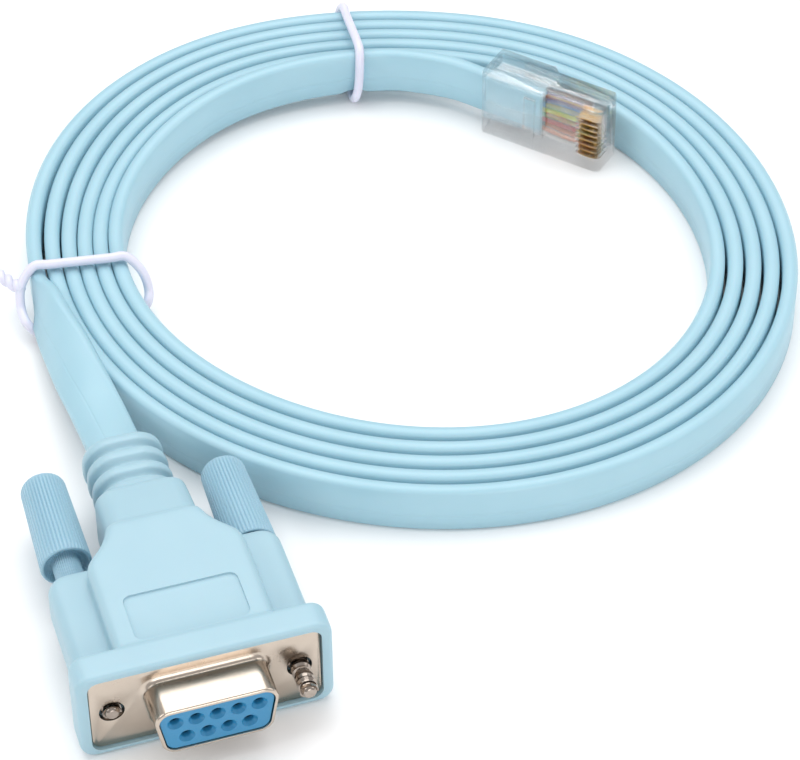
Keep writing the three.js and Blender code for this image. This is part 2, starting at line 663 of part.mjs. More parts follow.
// A closed loop of tie wire round the turns, with the stub where its ends are twisted together
function makeTie(name, tie) {
  const { above, below, slackIn, slackOut } = tie;
  const angleAt = (share) => above + (below - above) * share;
  const turn = (COIL.start - above) / (2 * Math.PI);
  const off = CABLE.thick / 2 + GAP + TIE.radius + tie.ease;
  const outside = Math.max(coilRadius(above, turn), coilRadius(below, turn)) + off;
  const inside = Math.min(coilRadius(above, turn + COIL.turns), coilRadius(below, turn + COIL.turns)) - off;
  const top = CABLE.width + GAP + TIE.radius;
  const topInside = top + climb(turn + COIL.turns);
  const corner = off - TIE.tightness;
  const curve = new THREE.CatmullRomCurve3(
    [
      onCoil(angleAt(0), outside - corner, top),
      onCoil(angleAt(0), outside - 2 * corner, top),
      onCoil(angleAt(0), inside + 2 * corner, topInside),
      onCoil(angleAt(0), inside + corner, topInside),
      onCoil(angleAt(0.25), inside, topInside - corner),
      onCoil(angleAt(0.6), inside - slackIn, CABLE.width / 2),
      onCoil(angleAt(0.9), inside, corner + TIE.radius),
      onCoil(angleAt(1), inside + corner, TIE.radius),
      onCoil(angleAt(1), inside + 2 * corner, TIE.radius),
      onCoil(angleAt(1), outside - 2 * corner, TIE.radius),
      onCoil(angleAt(1), outside - corner, TIE.radius),
      onCoil(angleAt(0.9), outside, corner + TIE.radius),
      onCoil(angleAt(0.5), outside + slackOut, CABLE.width / 2),
      onCoil(angleAt(0.2), outside, top - corner),
    ],
    true,
  );
  const middle = onCoil(angleAt(0.5), (inside + outside) / 2, CABLE.width / 2);
  const torus = new THREE.TorusGeometry(TIE.ring, TIE.radius, TIE.sides, TIE.steps);
  const position = torus.attributes.position;
  for (let i = 0; i < position.count; i++) {
    const x = position.getX(i);
    const y = position.getY(i);
    const share = (Math.atan2(y, x) / (2 * Math.PI) + 1) % 1;
    const along = curve.getTangentAt(share);
    const point = curve.getPointAt(share);
    point.z = Math.max(point.z, TIE.radius); // it lies on the floor where it passes below the turns
    const outwards = point.clone().sub(middle).projectOnPlane(along).normalize();
    const sideways = new THREE.Vector3().crossVectors(outwards, along);
    point.addScaledVector(outwards, Math.hypot(x, y) - TIE.ring);
    point.addScaledVector(sideways, position.getZ(i));
    position.setXYZ(i, point.x, point.y, point.z);
  }
  const heading = above - tie.heading;
  const stub = new THREE.CylinderGeometry(TIE.stub, TIE.stub, TIE.stubLength, TIE.sides);
  stub.rotateZ(90 * DEG + heading);
  const way = new THREE.Vector3(Math.cos(heading), Math.sin(heading), 0);
  const centre = curve.getPoint(tie.stubAt).addScaledVector(way, TIE.stubLength / 2 - TIE.radius);
  stub.translate(centre.x, centre.y, centre.z);
  addPiece(object, name, solid(torus).add(solid(stub)), TIE_WHITE);
}

makeHood();
makeShell();
makeInsulator();
makeThumbscrew(-1, PULLED_OUT, LEFT_LEAN);
makeThumbscrew(1, 0, 0);
makeCoil();
makeCableToConnector();
const plug = placePlug();
makeCableToPlug(plug);
makePlugBody(plug);
makePlugContacts(plug);
makePlugLatch(plug);
makeTie("twist_tie_left", LEFT_TIE);
makeTie("twist_tie_back", BACK_TIE);

export default object;
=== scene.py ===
"""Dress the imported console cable: a flat cable in a coil, a moulded nine-way connector and a clear plug.

Meshes are drawn in millimetres in the part's own frame and turned to metres as each piece is finished.
"""
from __future__ import annotations

import logging
import math
from dataclasses import dataclass
from enum import Enum
from typing import Callable, Sequence

import bpy
import numpy as np
from mathutils import Matrix, Vector


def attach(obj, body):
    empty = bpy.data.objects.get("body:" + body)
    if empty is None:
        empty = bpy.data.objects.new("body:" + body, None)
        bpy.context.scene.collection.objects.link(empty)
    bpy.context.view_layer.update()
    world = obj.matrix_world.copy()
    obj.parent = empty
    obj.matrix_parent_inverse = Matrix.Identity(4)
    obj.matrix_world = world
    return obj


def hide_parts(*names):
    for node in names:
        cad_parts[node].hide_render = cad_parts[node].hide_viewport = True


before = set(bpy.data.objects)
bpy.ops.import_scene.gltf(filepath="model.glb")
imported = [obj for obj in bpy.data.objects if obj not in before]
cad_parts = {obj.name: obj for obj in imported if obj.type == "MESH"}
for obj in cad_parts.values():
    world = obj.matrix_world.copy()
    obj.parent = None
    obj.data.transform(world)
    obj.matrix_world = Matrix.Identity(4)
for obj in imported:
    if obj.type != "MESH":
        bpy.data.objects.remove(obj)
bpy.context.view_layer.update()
METRES = 0.001
TURN = 2 * math.pi
log = logging.getLogger("console_cable")

Stations = Sequence[tuple[float, np.ndarray]]


class Body(Enum):
    """The moving bodies that pieces ride on."""

    CABLE = "cable"
    LEFT_SCREW = "left_screw"
    LEFT_KNOB = "left_knob"
    RIGHT_SCREW = "right_screw"
    RIGHT_KNOB = "right_knob"
    LATCH = "latch"


def linear(hex_colour: str) -> tuple[float, float, float, float]:
    """Turn an sRGB hex colour into linear RGBA.

    Args:
        hex_colour: the colour as #rrggbb.

    Returns:
        Red, green and blue in linear light, and an alpha of one.
    """
    values = [int(hex_colour[i : i + 2], 16) / 255 for i in (1, 3, 5)]
    red, green, blue = (v / 12.92 if v <= 0.04045 else ((v + 0.055) / 1.055) ** 2.4 for v in values)
    return red, green, blue, 1.0


def per_metre(size: float) -> float:
    """Return how often a pattern of a size in millimetres fits into a metre."""
    return 1 / (size * METRES)


def add_node(
    tree: bpy.types.NodeTree, kind: str, inputs: dict | None = None, **settings: object
) -> bpy.types.Node:
    """Add a node with its settings, and set or link its inputs.

    Args:
        tree: the tree that gets the node.
        kind: the node's type name.
        inputs: input names or numbers, each with a value or with a socket to link from.
        settings: the node's own properties.

    Returns:
        The new node.
    """
    node = tree.nodes.new(kind)
    for name, value in settings.items():
        setattr(node, name, value)
    for key, value in (inputs or {}).items():
        if isinstance(value, bpy.types.NodeSocket):
            tree.links.new(value, node.inputs[key])
        else:
            node.inputs[key].default_value = value
    return node


def start_material(
    name: str, **values: object
) -> tuple[bpy.types.Material, bpy.types.NodeTree, bpy.types.Node]:
    """Start a material with one Principled shader.

    Args:
        name: the material's name.
        values: the shader's constant inputs, with underscores for spaces.

    Returns:
        The material, its node tree and the shader node.
    """
    material = bpy.data.materials.new(name)
    material.use_nodes = True
    tree = material.node_tree
    tree.nodes.clear()
    inputs = {key.replace("_", " "): value for key, value in values.items()}
    shader = add_node(tree, "ShaderNodeBsdfPrincipled", inputs)
    add_node(tree, "ShaderNodeOutputMaterial", {"Surface": shader.outputs[0]})
    return material, tree, shader


def link_surface(
    tree: bpy.types.NodeTree,
    shader: bpy.types.Node,
    colour: bpy.types.Node,
    gloss: bpy.types.Node,
    bump: bpy.types.Node,
) -> None:
    """Link a mixed colour, a gloss and a bump to the shader.

    Args:
        tree: the material's node tree.
        shader: the Principled shader.
        colour: the Mix node of the two tints.
        gloss: the node that gives the roughness.
        bump: the Bump node.
    """
    tree.links.new(colour.outputs[2], shader.inputs["Base Color"])
    tree.links.new(gloss.outputs[0], shader.inputs["Roughness"])
    tree.links.new(bump.outputs[0], shader.inputs["Normal"])


@dataclass(frozen=True)
class MouldedPVC:
    """Plasticised PVC moulded in a spark-eroded tool: an even satin with a fine grain and faint clouds."""

    name: str
    colour: str
    shade: str
    slot: str
    roughness: float = 0.42
    cloud: float = 7.0
    grain: float = 0.22  # the real grain is about 0.05 mm, drawn coarser so that it shows
    grain_height: float = 0.012

    def material(self) -> bpy.types.Material:
        """Make the material, with clouds in its colour and grain in its bump and gloss.

        Returns:
            The material.
        """
        material, tree, shader = start_material(
            self.name, IOR=1.53, Subsurface_Weight=0.06, Subsurface_Scale=0.001
        )
        place = add_node(tree, "ShaderNodeTexCoord").outputs["Object"]
        clouds, grain = (
            add_node(
                tree, "ShaderNodeTexNoise", {"Vector": place, "Scale": per_metre(size), "Detail": detail}
            )
            for size, detail in ((self.cloud, 2.0), (self.grain, 3.0))
        )
        colour = add_node(
            tree,
            "ShaderNodeMix",
            {0: clouds.outputs["Fac"], 6: linear(self.colour), 7: linear(self.shade)},
            data_type="RGBA",
        )
        gloss = add_node(
            tree,
            "ShaderNodeMapRange",
            {"Value": grain.outputs["Fac"], "To Min": self.roughness - 0.06, "To Max": self.roughness + 0.06},
        )
        bump = add_node(
            tree,
            "ShaderNodeBump",
            {"Height": grain.outputs["Fac"], "Strength": 0.35, "Distance": self.grain_height * METRES},
        )
        link_surface(tree, shader, colour, gloss, bump)
        return material


@dataclass(frozen=True)
class ExtrudedPVC:
    """PVC drawn over the wires of a flat cable: satin, with fine lines along it and one faint crease."""

    name: str = "extruded_pvc_sky_blue"
    colour: str = "#a3c8d5"
    shade: str = "#98c0ce"
    slot: str = "cable_pvc"
    line_at: float = -0.12  # the faint line along the cable, as a share of its width from the middle
    line_width: float = 0.035
    cloud: float = 9

    def material(self) -> bpy.types.Material:
        """Make the material, which reads the lengths along and across the cable from its attributes.

        Returns:
            The material.
        """
        material, tree, shader = start_material(
            self.name, IOR=1.53, Subsurface_Weight=0.05, Subsurface_Scale=0.001
        )
        along = add_node(tree, "ShaderNodeAttribute", attribute_name="along").outputs["Fac"]
        across = add_node(tree, "ShaderNodeAttribute", attribute_name="across").outputs["Fac"]
        place = add_node(tree, "ShaderNodeTexCoord").outputs["Object"]
        slow = add_node(tree, "ShaderNodeMath", {0: along, 1: 0.05}, operation="MULTIPLY")
        fast = add_node(tree, "ShaderNodeMath", {0: across, 1: 22.0}, operation="MULTIPLY")
        stretched = add_node(tree, "ShaderNodeCombineXYZ", {"X": slow.outputs[0], "Y": fast.outputs[0]})
        lines, clouds = (
            add_node(tree, "ShaderNodeTexNoise", {"Vector": vector, "Scale": scale, "Detail": detail})
            for vector, scale, detail in (
                (stretched.outputs[0], 1.0, 3.0),
                (place, per_metre(self.cloud), 2.0),
            )
        )
        colour = add_node(
            tree,
            "ShaderNodeMix",
            {0: clouds.outputs["Fac"], 6: linear(self.colour), 7: linear(self.shade)},
            data_type="RGBA",
        )
        gloss = add_node(
            tree, "ShaderNodeMapRange", {"Value": lines.outputs["Fac"], "To Min": 0.3, "To Max": 0.46}
        )
        offset = add_node(tree, "ShaderNodeMath", {0: across, 1: self.line_at}, operation="SUBTRACT")
        size = add_node(tree, "ShaderNodeMath", {0: offset.outputs[0]}, operation="ABSOLUTE")
        crease = add_node(
            tree,
            "ShaderNodeMapRange",
            {"Value": size.outputs[0], "From Max": self.line_width},
            interpolation_type="SMOOTHSTEP",
        )
        height = add_node(
            tree,
            "ShaderNodeMath",
            {0: lines.outputs["Fac"], 1: 0.18, 2: crease.outputs[0]},
            operation="MULTIPLY_ADD",
        )
        bump = add_node(
            tree, "ShaderNodeBump", {"Height": height.outputs[0], "Strength": 0.5, "Distance": 0.06 * METRES}
        )
        link_surface(tree, shader, colour, gloss, bump)
        return material


@dataclass(frozen=True)
class PlatedMetal:
    """Plated metal: the plating's own tint, a satin that varies, and fine pits and rub marks."""

    name: str
    colour: str
    worn: str
    slot: str
    roughness: float = 0.24
    patch: float = 3.0
    pit: float = 0.12
    pit_height: float = 0.006

    def material(self) -> bpy.types.Material:
        """Make the material, with patches in its tint and gloss and pits in its bump.

        Returns:
            The material.
        """
        material, tree, shader = start_material(self.name, Metallic=1.0)
        place = add_node(tree, "ShaderNodeTexCoord").outputs["Object"]
        patches, pits = (
            add_node(
                tree, "ShaderNodeTexNoise", {"Vector": place, "Scale": per_metre(size), "Detail": detail}
            )
            for size, detail in ((self.patch, 4.0), (self.pit, 2.0))
        )
        colour = add_node(
            tree,
            "ShaderNodeMix",
            {0: patches.outputs["Fac"], 6: linear(self.colour), 7: linear(self.worn)},
            data_type="RGBA",
        )
        gloss = add_node(
            tree,
            "ShaderNodeMapRange",
            {
                "Value": patches.outputs["Fac"],
                "To Min": self.roughness - 0.07,
                "To Max": self.roughness + 0.09,
            },
        )
        bump = add_node(
            tree,
            "ShaderNodeBump",
            {"Height": pits.outputs["Fac"], "Strength": 0.3, "Distance": self.pit_height * METRES},
        )
        link_surface(tree, shader, colour, gloss, bump)
        return material


@dataclass(frozen=True)
class ClearPolycarbonate:
    """Clear polycarbonate from a polished tool: glassy, with slight flow marks."""

    name: str = "moulded_clear_polycarbonate"
    slot: str = "plug_clear"
    flow: float = 2.5  # the size of the flow marks

    def material(self) -> bpy.types.Material:
        """Make the material, see-through, with flow marks in its gloss and bump.

        Returns:
            The material.
        """
        material, tree, shader = start_material(
            self.name, Base_Color=linear("#ffffff"), IOR=1.45, Transmission_Weight=1.0, Alpha=0.42
        )
        place = add_node(tree, "ShaderNodeTexCoord").outputs["Object"]
        flow = add_node(
            tree, "ShaderNodeTexNoise", {"Vector": place, "Scale": per_metre(self.flow), "Detail": 2.0}
        )
        gloss = add_node(
            tree, "ShaderNodeMapRange", {"Value": flow.outputs["Fac"], "To Min": 0.02, "To Max": 0.09}
        )
        bump = add_node(
            tree,
            "ShaderNodeBump",
            {"Height": flow.outputs["Fac"], "Strength": 0.15, "Distance": 0.05 * METRES},
        )
        tree.links.new(gloss.outputs[0], shader.inputs["Roughness"])
        tree.links.new(bump.outputs[0], shader.inputs["Normal"])
        return material


SKY_HOOD = MouldedPVC("moulded_pvc_sky_blue", "#a0c1cd", "#9abcc9", "hood_pvc")
SKY_KNOB = MouldedPVC("moulded_pvc_knob_blue", "#95bacb", "#8eb4c6", "knob_pvc", roughness=0.38)
SOCKET_PBT = MouldedPVC(
    "moulded_pbt_socket_blue", "#2f86b2", "#2a7eaa", "socket_blue", roughness=0.3, grain=0.3
)
NICKEL = PlatedMetal("bright_nickel_on_drawn_steel", "#cbbfb2", "#bcafa1", "shell_nickel")
SCREW_NICKEL = PlatedMetal(
    "nickel_plated_turned_steel", "#b9aea4", "#968a80", "screw_steel", roughness=0.2, patch=0.8
)
CONTACT_GOLD = PlatedMetal(
    "gold_flashed_phosphor_bronze", "#d9b26a", "#c79d55", "contact_gold", patch=1.0
)
TIE_COAT = MouldedPVC(
    "extruded_polyethylene_tie_coat", "#dcdcea", "#d2d3e4", "tie_coat", roughness=0.35, cloud=2.0
)
CLEAR = ClearPolycarbonate()
WIRE_NAMES = ("white", "orange", "black", "red", "green", "yellow", "blue", "brown")
WIRE_COLOURS = ("#d3d3cf", "#d9793a", "#26262b", "#c8403a", "#3f9a56", "#d9c93c", "#2f74b5", "#7a4a30")


Finish = MouldedPVC | ExtrudedPVC | PlatedMetal | ClearPolycarbonate


class Finishes:
    """Makes each finish's material once and hands it out."""

    def __init__(self) -> None:
        """Start with no material made."""
        self.made: dict[str, bpy.types.Material] = {}

    def of(self, finish: Finish) -> bpy.types.Material:
        """Make a finish's material the first time it is asked for.

        Args:
            finish: the finish.

        Returns:
            Its material.
        """
        if finish.name not in self.made:
            self.made[finish.name] = finish.material()
        return self.made[finish.name]


FINISHES = Finishes()


def mesh_object(
    name: str, vertices: Sequence, faces: Sequence, edges: Sequence = ()
) -> bpy.types.Object:
    """Make an object of points in millimetres.

    Args:
        name: the object's name.
        vertices: the points.
        faces: the faces, as lists of point numbers.
        edges: loose edges, for a path.

    Returns:
        The object, in the scene.
    """
    mesh = bpy.data.meshes.new(name)
    points = [tuple(map(float, vertex)) for vertex in vertices]
    mesh.from_pydata(points, [tuple(edge) for edge in edges], [tuple(face) for face in faces])
    made = bpy.data.objects.new(name, mesh)
    bpy.context.scene.collection.objects.link(made)
    return made


def bake(made: bpy.types.Object) -> None:
    """Turn an object's modifiers into its mesh.

    Args:
        made: the object.
    """
    bpy.context.view_layer.update()
    evaluated = made.evaluated_get(bpy.context.evaluated_depsgraph_get())
    mesh = bpy.data.meshes.new_from_object(evaluated)
    made.modifiers.clear()
    made.data = mesh


def combine(target: bpy.types.Object, tool: bpy.types.Object, operation: str = "DIFFERENCE") -> None:
    """Cut the tool out of the target, or join it on, and remove the tool.

    Args:
        target: the object that changes.
        tool: the closed object that cuts or joins.
        operation: DIFFERENCE or UNION.
    """
    cut = target.modifiers.new("combine", "BOOLEAN")
    cut.operation = operation
    cut.object = tool
    cut.solver = "MANIFOLD"
    bake(target)
    bpy.data.objects.remove(tool)


def modify(made: bpy.types.Object, kind: str, **settings: object) -> None:
    """Add a modifier and bake it.

    Args:
        made: the object that changes.
        kind: the modifier's type.
        settings: its properties.
    """
    modifier = made.modifiers.new(kind.lower(), kind)
    for name, value in settings.items():
        setattr(modifier, name, value)
    bake(made)


def join(name: str, parts: Sequence[bpy.types.Object]) -> bpy.types.Object:
    """Put the meshes of several objects into one new object, and remove them.

    Args:
        name: the new object's name.
        parts: the objects.

    Returns:
        The new object.
    """
    vertices, faces, start = [], [], 0
    for part in parts:
        vertices += [tuple(v.co) for v in part.data.vertices]
        faces += [tuple(start + i for i in p.vertices) for p in part.data.polygons]
        start += len(part.data.vertices)
    for part in parts:
        bpy.data.objects.remove(part)
    return mesh_object(name, vertices, faces)


def finish_piece(
    made: bpy.types.Object,
    finish: Finish,
    body: Body,
    *nodes: str,
    place: Matrix | None = None,
    crease: float = 35,
) -> bpy.types.Object:
    """Bring a piece to metres, dress it and hand it to its body.

    Args:
        made: the piece, drawn in millimetres.
        finish: what it is made of.
        body: the body that it rides on.
        nodes: the CAD nodes that it stands for.
        place: where its own frame lies in the part's frame, in millimetres.
        crease: the angle in degrees above which an edge stays sharp.

    Returns:
        The piece.
    """
    mesh = made.data
    mesh.transform(Matrix.Scale(METRES, 4) @ (place or Matrix.Identity(4)))
    mesh.materials.clear()
    mesh.materials.append(FINISHES.of(finish))
    mesh.polygons.foreach_set("use_smooth", [True] * len(mesh.polygons))
    mesh.set_sharp_from_angle(angle=math.radians(crease))
    mesh.update()
    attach(made, body.value)
    if nodes:
        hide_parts(*nodes)
    log.info("%s: %d faces on %s", made.name, len(mesh.polygons), body.value)
    return made


def rounded_rectangle(width: float, height: float, radius: float, steps: int = 6) -> np.ndarray:
    """Draw a centred rectangle with round corners, anticlockwise.

    Args:
        width: its width.
        height: its height.
        radius: the radius of its corners.
        steps: how many sides each corner has.

    Returns:
        Its points.
    """
    radius = min(radius, width / 2 - 1e-3, height / 2 - 1e-3)
    corners = ((1, 1, 0), (-1, 1, 90), (-1, -1, 180), (1, -1, 270))
    points = []
    for x, y, start in corners:
        for step in range(steps + 1):
            angle = math.radians(start + 90 * step / steps)
            points.append(
                (
                    x * (width / 2 - radius) + radius * math.cos(angle),
                    y * (height / 2 - radius) + radius * math.sin(angle),
                )
            )
    return np.array(points)


def loft(name: str, stations: Stations) -> bpy.types.Object:
    """Make a closed solid along +Y through outlines drawn in X and Z, all with as many points.

    Args:
        name: the object's name.
        stations: depths in order, each with its outline.

    Returns:
        The object, with its faces outwards.
    """
    count = len(stations[0][1])
    vertices = [(x, depth, z) for depth, outline in stations for x, z in outline]
    faces = []
    for ring in range(len(stations) - 1):
        for i in range(count):
            here, there = ring * count + i, ring * count + (i + 1) % count
            faces.append((here, here + count, there + count, there))
    faces.append(tuple(range(count)))
    faces.append(tuple((len(stations) - 1) * count + i for i in reversed(range(count))))
    return mesh_object(name, vertices, faces)


def lathe(name: str, profile: Sequence[tuple[float, float]], sides: int) -> bpy.types.Object:
    """Make a round solid about +Y.

    Args:
        name: the object's name.
        profile: depths and radii in order; a radius of zero closes an end with one point.
        sides: how many sides it has.

    Returns:
        The object, with its faces outwards where depth grows along the outside.
    """
    vertices: list[tuple[float, float, float]] = []
    rings: list[list[int]] = []
    for depth, radius in profile:
        if radius <= 0:
            rings.append([len(vertices)])
            vertices.append((0.0, depth, 0.0))
            continue
        rings.append(list(range(len(vertices), len(vertices) + sides)))
        for i in range(sides):
            angle = TURN * i / sides
            vertices.append((radius * math.cos(angle), depth, radius * math.sin(angle)))
    faces = []
    for low, high in zip(rings, rings[1:]):
        if len(low) == len(high) == 1:
            continue
        for i in range(sides):
            j = (i + 1) % sides
            if len(low) == 1:
                faces.append((low[0], high[i], high[j]))
            elif len(high) == 1:
                faces.append((low[i], high[0], low[j]))
            else:
                faces.append((low[i], high[i], high[j], low[j]))
    return mesh_object(name, vertices, faces)


def smooth_curve(points: Sequence[Sequence[float]], step: float, closed: bool = False) -> np.ndarray:
    """Run a centripetal Catmull-Rom curve through points and space it evenly.

    Args:
        points: the points to pass through.
        step: the distance between the returned points.
        closed: whether the curve runs back to its first point.

    Returns:
        The evenly spaced points; a closed curve doesn't repeat its first one.
    """
    knots = np.asarray(points, float)
    if closed:
        knots = np.vstack([knots[-1], knots, knots[0], knots[1]])
    else:
        knots = np.vstack([2 * knots[0] - knots[1], knots, 2 * knots[-1] - knots[-2]])
    fine = []
    for a, b, c, d in zip(knots, knots[1:], knots[2:], knots[3:]):
        t0 = 0.0
        t1 = t0 + math.sqrt(np.linalg.norm(b - a))
        t2 = t1 + math.sqrt(np.linalg.norm(c - b))
        t3 = t2 + math.sqrt(np.linalg.norm(d - c))
        t = np.linspace(t1, t2, 24, endpoint=False)[:, None]
        ab = (t1 - t) / (t1 - t0) * a + (t - t0) / (t1 - t0) * b
        bc = (t2 - t) / (t2 - t1) * b + (t - t1) / (t2 - t1) * c
        cd = (t3 - t) / (t3 - t2) * c + (t - t2) / (t3 - t2) * d
        abc = (t2 - t) / (t2 - t0) * ab + (t - t0) / (t2 - t0) * bc
        bcd = (t3 - t) / (t3 - t1) * bc + (t - t1) / (t3 - t1) * cd
        fine.append((t2 - t) / (t2 - t1) * abc + (t - t1) / (t2 - t1) * bcd)
    curve = np.vstack([*fine, knots[1] if closed else knots[-2]])
    lengths = np.concatenate([[0], np.cumsum(np.linalg.norm(np.diff(curve, axis=0), axis=1))])
    count = max(2, round(lengths[-1] / step))
    even = np.linspace(0, lengths[-1], count + 1)
    spaced = np.stack([np.interp(even, lengths, curve[:, k]) for k in range(3)], axis=1)
    return spaced[:-1] if closed else spaced


def path_object(
    name: str, points: np.ndarray, closed: bool = False, **attributes: np.ndarray
) -> bpy.types.Object:
    """Make a path of loose edges, with attributes on its points.

    Args:
        name: the object's name.
        points: the points in order.
        closed: whether the last point joins the first.
        attributes: numbers or vectors for each point, by name.

    Returns:
        The object.
    """
    count = len(points)
    edges = [(i, i + 1) for i in range(count - 1)] + ([(count - 1, 0)] if closed else [])
    made = mesh_object(name, points, (), edges)
    for key, values in attributes.items():
        vector = values.ndim == 2
        attribute = made.data.attributes.new(key, "FLOAT_VECTOR" if vector else "FLOAT", "POINT")
        attribute.data.foreach_set("vector" if vector else "value", values.astype(float).ravel())
    return made


@dataclass
class GeometryTree:
    """A Geometry Nodes tree with named inputs, which ends in Realize Instances and Set Material."""

    name: str
    sizes: dict[str, str]
    build: Callable[[bpy.types.NodeTree, dict[str, bpy.types.NodeSocket]], bpy.types.NodeSocket]
    tree: bpy.types.NodeTree | None = None

    def make(self) -> bpy.types.NodeTree:
        """Build the tree the first time it is used.

        Returns:
            The tree.
        """
        if self.tree:
            return self.tree
        tree = bpy.data.node_groups.new(self.name, "GeometryNodeTree")
        tree.interface.new_socket("Geometry", in_out="INPUT", socket_type="NodeSocketGeometry")
        for size, kind in self.sizes.items():
            tree.interface.new_socket(size, in_out="INPUT", socket_type=kind)
        tree.interface.new_socket("Material", in_out="INPUT", socket_type="NodeSocketMaterial")
        tree.interface.new_socket("Geometry", in_out="OUTPUT", socket_type="NodeSocketGeometry")
        given = add_node(tree, "NodeGroupInput")
        made = self.build(tree, {socket.name: socket for socket in given.outputs if socket.name})
        realized = add_node(tree, "GeometryNodeRealizeInstances", {"Geometry": made})
        dressed = add_node(
            tree,
            "GeometryNodeSetMaterial",
            {"Geometry": realized.outputs[0], "Material": given.outputs["Material"]},
        )
        add_node(tree, "NodeGroupOutput", {0: dressed.outputs[0]})
        self.tree = tree
        return tree

    def apply(self, made: bpy.types.Object, finish: Finish, **values: object) -> bpy.types.Object:
        """Run the tree on an object and bake it.

        Args:
            made: the object whose mesh the tree starts from.
            finish: the finish whose material the tree sets.
            values: the tree's named inputs, with underscores for spaces.

        Returns:
            The same object with the result as its mesh.
        """
        tree = self.make()
        named = {key.replace("_", " "): value for key, value in values.items()}
        named["Material"] = FINISHES.of(finish)
        modifier = made.modifiers.new(self.name, "NODES")
        modifier.node_group = tree
        for item in tree.interface.items_tree:
            if item.item_type == "SOCKET" and item.in_out == "INPUT" and item.name in named:
                modifier[item.identifier] = named[item.name]
        bake(made)
        return made


def build_ribbon(tree: bpy.types.NodeTree, given: dict[str, bpy.types.NodeSocket]) -> bpy.types.NodeSocket:
    """Sweep a rectangle with round corners along the path, its thickness along the path's own attribute.

    Args:
        tree: the tree to build in.
        given: the tree's inputs by name.

    Returns:
        The socket with the swept mesh.
    """
    curve = add_node(tree, "GeometryNodeMeshToCurve", {"Mesh": given["Geometry"]})
    way = add_node(tree, "GeometryNodeInputNamedAttribute", {"Name": "through"}, data_type="FLOAT_VECTOR")
    turned = add_node(
        tree, "GeometryNodeSetCurveNormal", {"Curve": curve.outputs[0], "Normal": way.outputs[0]}, mode="FREE"
    )
    outline = add_node(
        tree,
        "GeometryNodeCurvePrimitiveQuadrilateral",
        {"Width": given["Thickness"], "Height": given["Width"]},
        mode="RECTANGLE",
    )
    round_section = add_node(
        tree,
        "GeometryNodeFilletCurve",
        {"Curve": outline.outputs[0], "Radius": given["Edge"]},
    )
    fillet_count = next(socket for socket in round_section.inputs if socket.name == "Count")
    fillet_count.default_value = 4
    place = add_node(tree, "GeometryNodeInputPosition")
    parts = add_node(tree, "ShaderNodeSeparateXYZ", {0: place.outputs[0]})
    share = add_node(tree, "ShaderNodeMath", {0: parts.outputs["Y"], 1: given["Width"]}, operation="DIVIDE")
    section = add_node(
        tree,
        "GeometryNodeStoreNamedAttribute",
        {"Geometry": round_section.outputs[0], "Name": "across", "Value": share.outputs[0]},
        data_type="FLOAT",
        domain="POINT",
    )
    swept = add_node(
        tree,
        "GeometryNodeCurveToMesh",
        {"Curve": turned.outputs[0], "Profile Curve": section.outputs[0], "Fill Caps": True},
    )
    return swept.outputs[0]


def build_wire(tree: bpy.types.NodeTree, given: dict[str, bpy.types.NodeSocket]) -> bpy.types.NodeSocket:
    """Sweep a circle along the path.

    Args:
        tree: the tree to build in.
        given: the tree's inputs by name.

    Returns:
        The socket with the swept mesh.
    """
    curve = add_node(tree, "GeometryNodeMeshToCurve", {"Mesh": given["Geometry"]})
    circle = add_node(
        tree, "GeometryNodeCurvePrimitiveCircle", {"Resolution": given["Sides"], "Radius": given["Radius"]}
    )
    swept = add_node(
        tree,
        "GeometryNodeCurveToMesh",
        {"Curve": curve.outputs[0], "Profile Curve": circle.outputs[0], "Fill Caps": True},
    )
    return swept.outputs[0]


def build_flutes(tree: bpy.types.NodeTree, given: dict[str, bpy.types.NodeSocket]) -> bpy.types.NodeSocket:
    """Draw straight flutes into a round piece about Y, fading out at both ends.

    Args:
        tree: the tree to build in.
        given: the tree's inputs by name.

    Returns:
        The socket with the fluted mesh.
    """
    place = add_node(tree, "GeometryNodeInputPosition")
    parts = add_node(tree, "ShaderNodeSeparateXYZ", {0: place.outputs[0]})
    angle = add_node(
        tree, "ShaderNodeMath", {0: parts.outputs["Z"], 1: parts.outputs["X"]}, operation="ARCTAN2"
    )
    phase = add_node(tree, "ShaderNodeMath", {0: angle.outputs[0], 1: given["Count"]}, operation="MULTIPLY")
    wave = add_node(tree, "ShaderNodeMath", {0: phase.outputs[0]}, operation="COSINE")
    groove = add_node(
        tree,
        "ShaderNodeMapRange",
        {"Value": wave.outputs[0], "From Min": -0.2, "From Max": 1.0, "To Max": given["Depth"]},
        interpolation_type="SMOOTHSTEP",
    )
    start, end = (
        add_node(
            tree,
            "ShaderNodeMapRange",
            {"Value": parts.outputs["Y"], "From Min": given[none], "From Max": given[full]},
            interpolation_type="SMOOTHSTEP",
        )
        for none, full in (("From", "Full From"), ("To", "Full To"))
    )
    both = add_node(tree, "ShaderNodeMath", {0: start.outputs[0], 1: end.outputs[0]}, operation="MULTIPLY")
    depth = add_node(tree, "ShaderNodeMath", {0: groove.outputs[0], 1: both.outputs[0]}, operation="MULTIPLY")
    outwards = add_node(tree, "ShaderNodeCombineXYZ", {"X": parts.outputs["X"], "Z": parts.outputs["Z"]})
    unit = add_node(tree, "ShaderNodeVectorMath", {0: outwards.outputs[0]}, operation="NORMALIZE")
    inwards = add_node(tree, "ShaderNodeMath", {0: depth.outputs[0], 1: -1.0}, operation="MULTIPLY")
    shift = add_node(
        tree, "ShaderNodeVectorMath", {0: unit.outputs[0], "Scale": inwards.outputs[0]}, operation="SCALE"
    )
    moved = add_node(
        tree, "GeometryNodeSetPosition", {"Geometry": given["Geometry"], "Offset": shift.outputs[0]}
    )
    return moved.outputs[0]


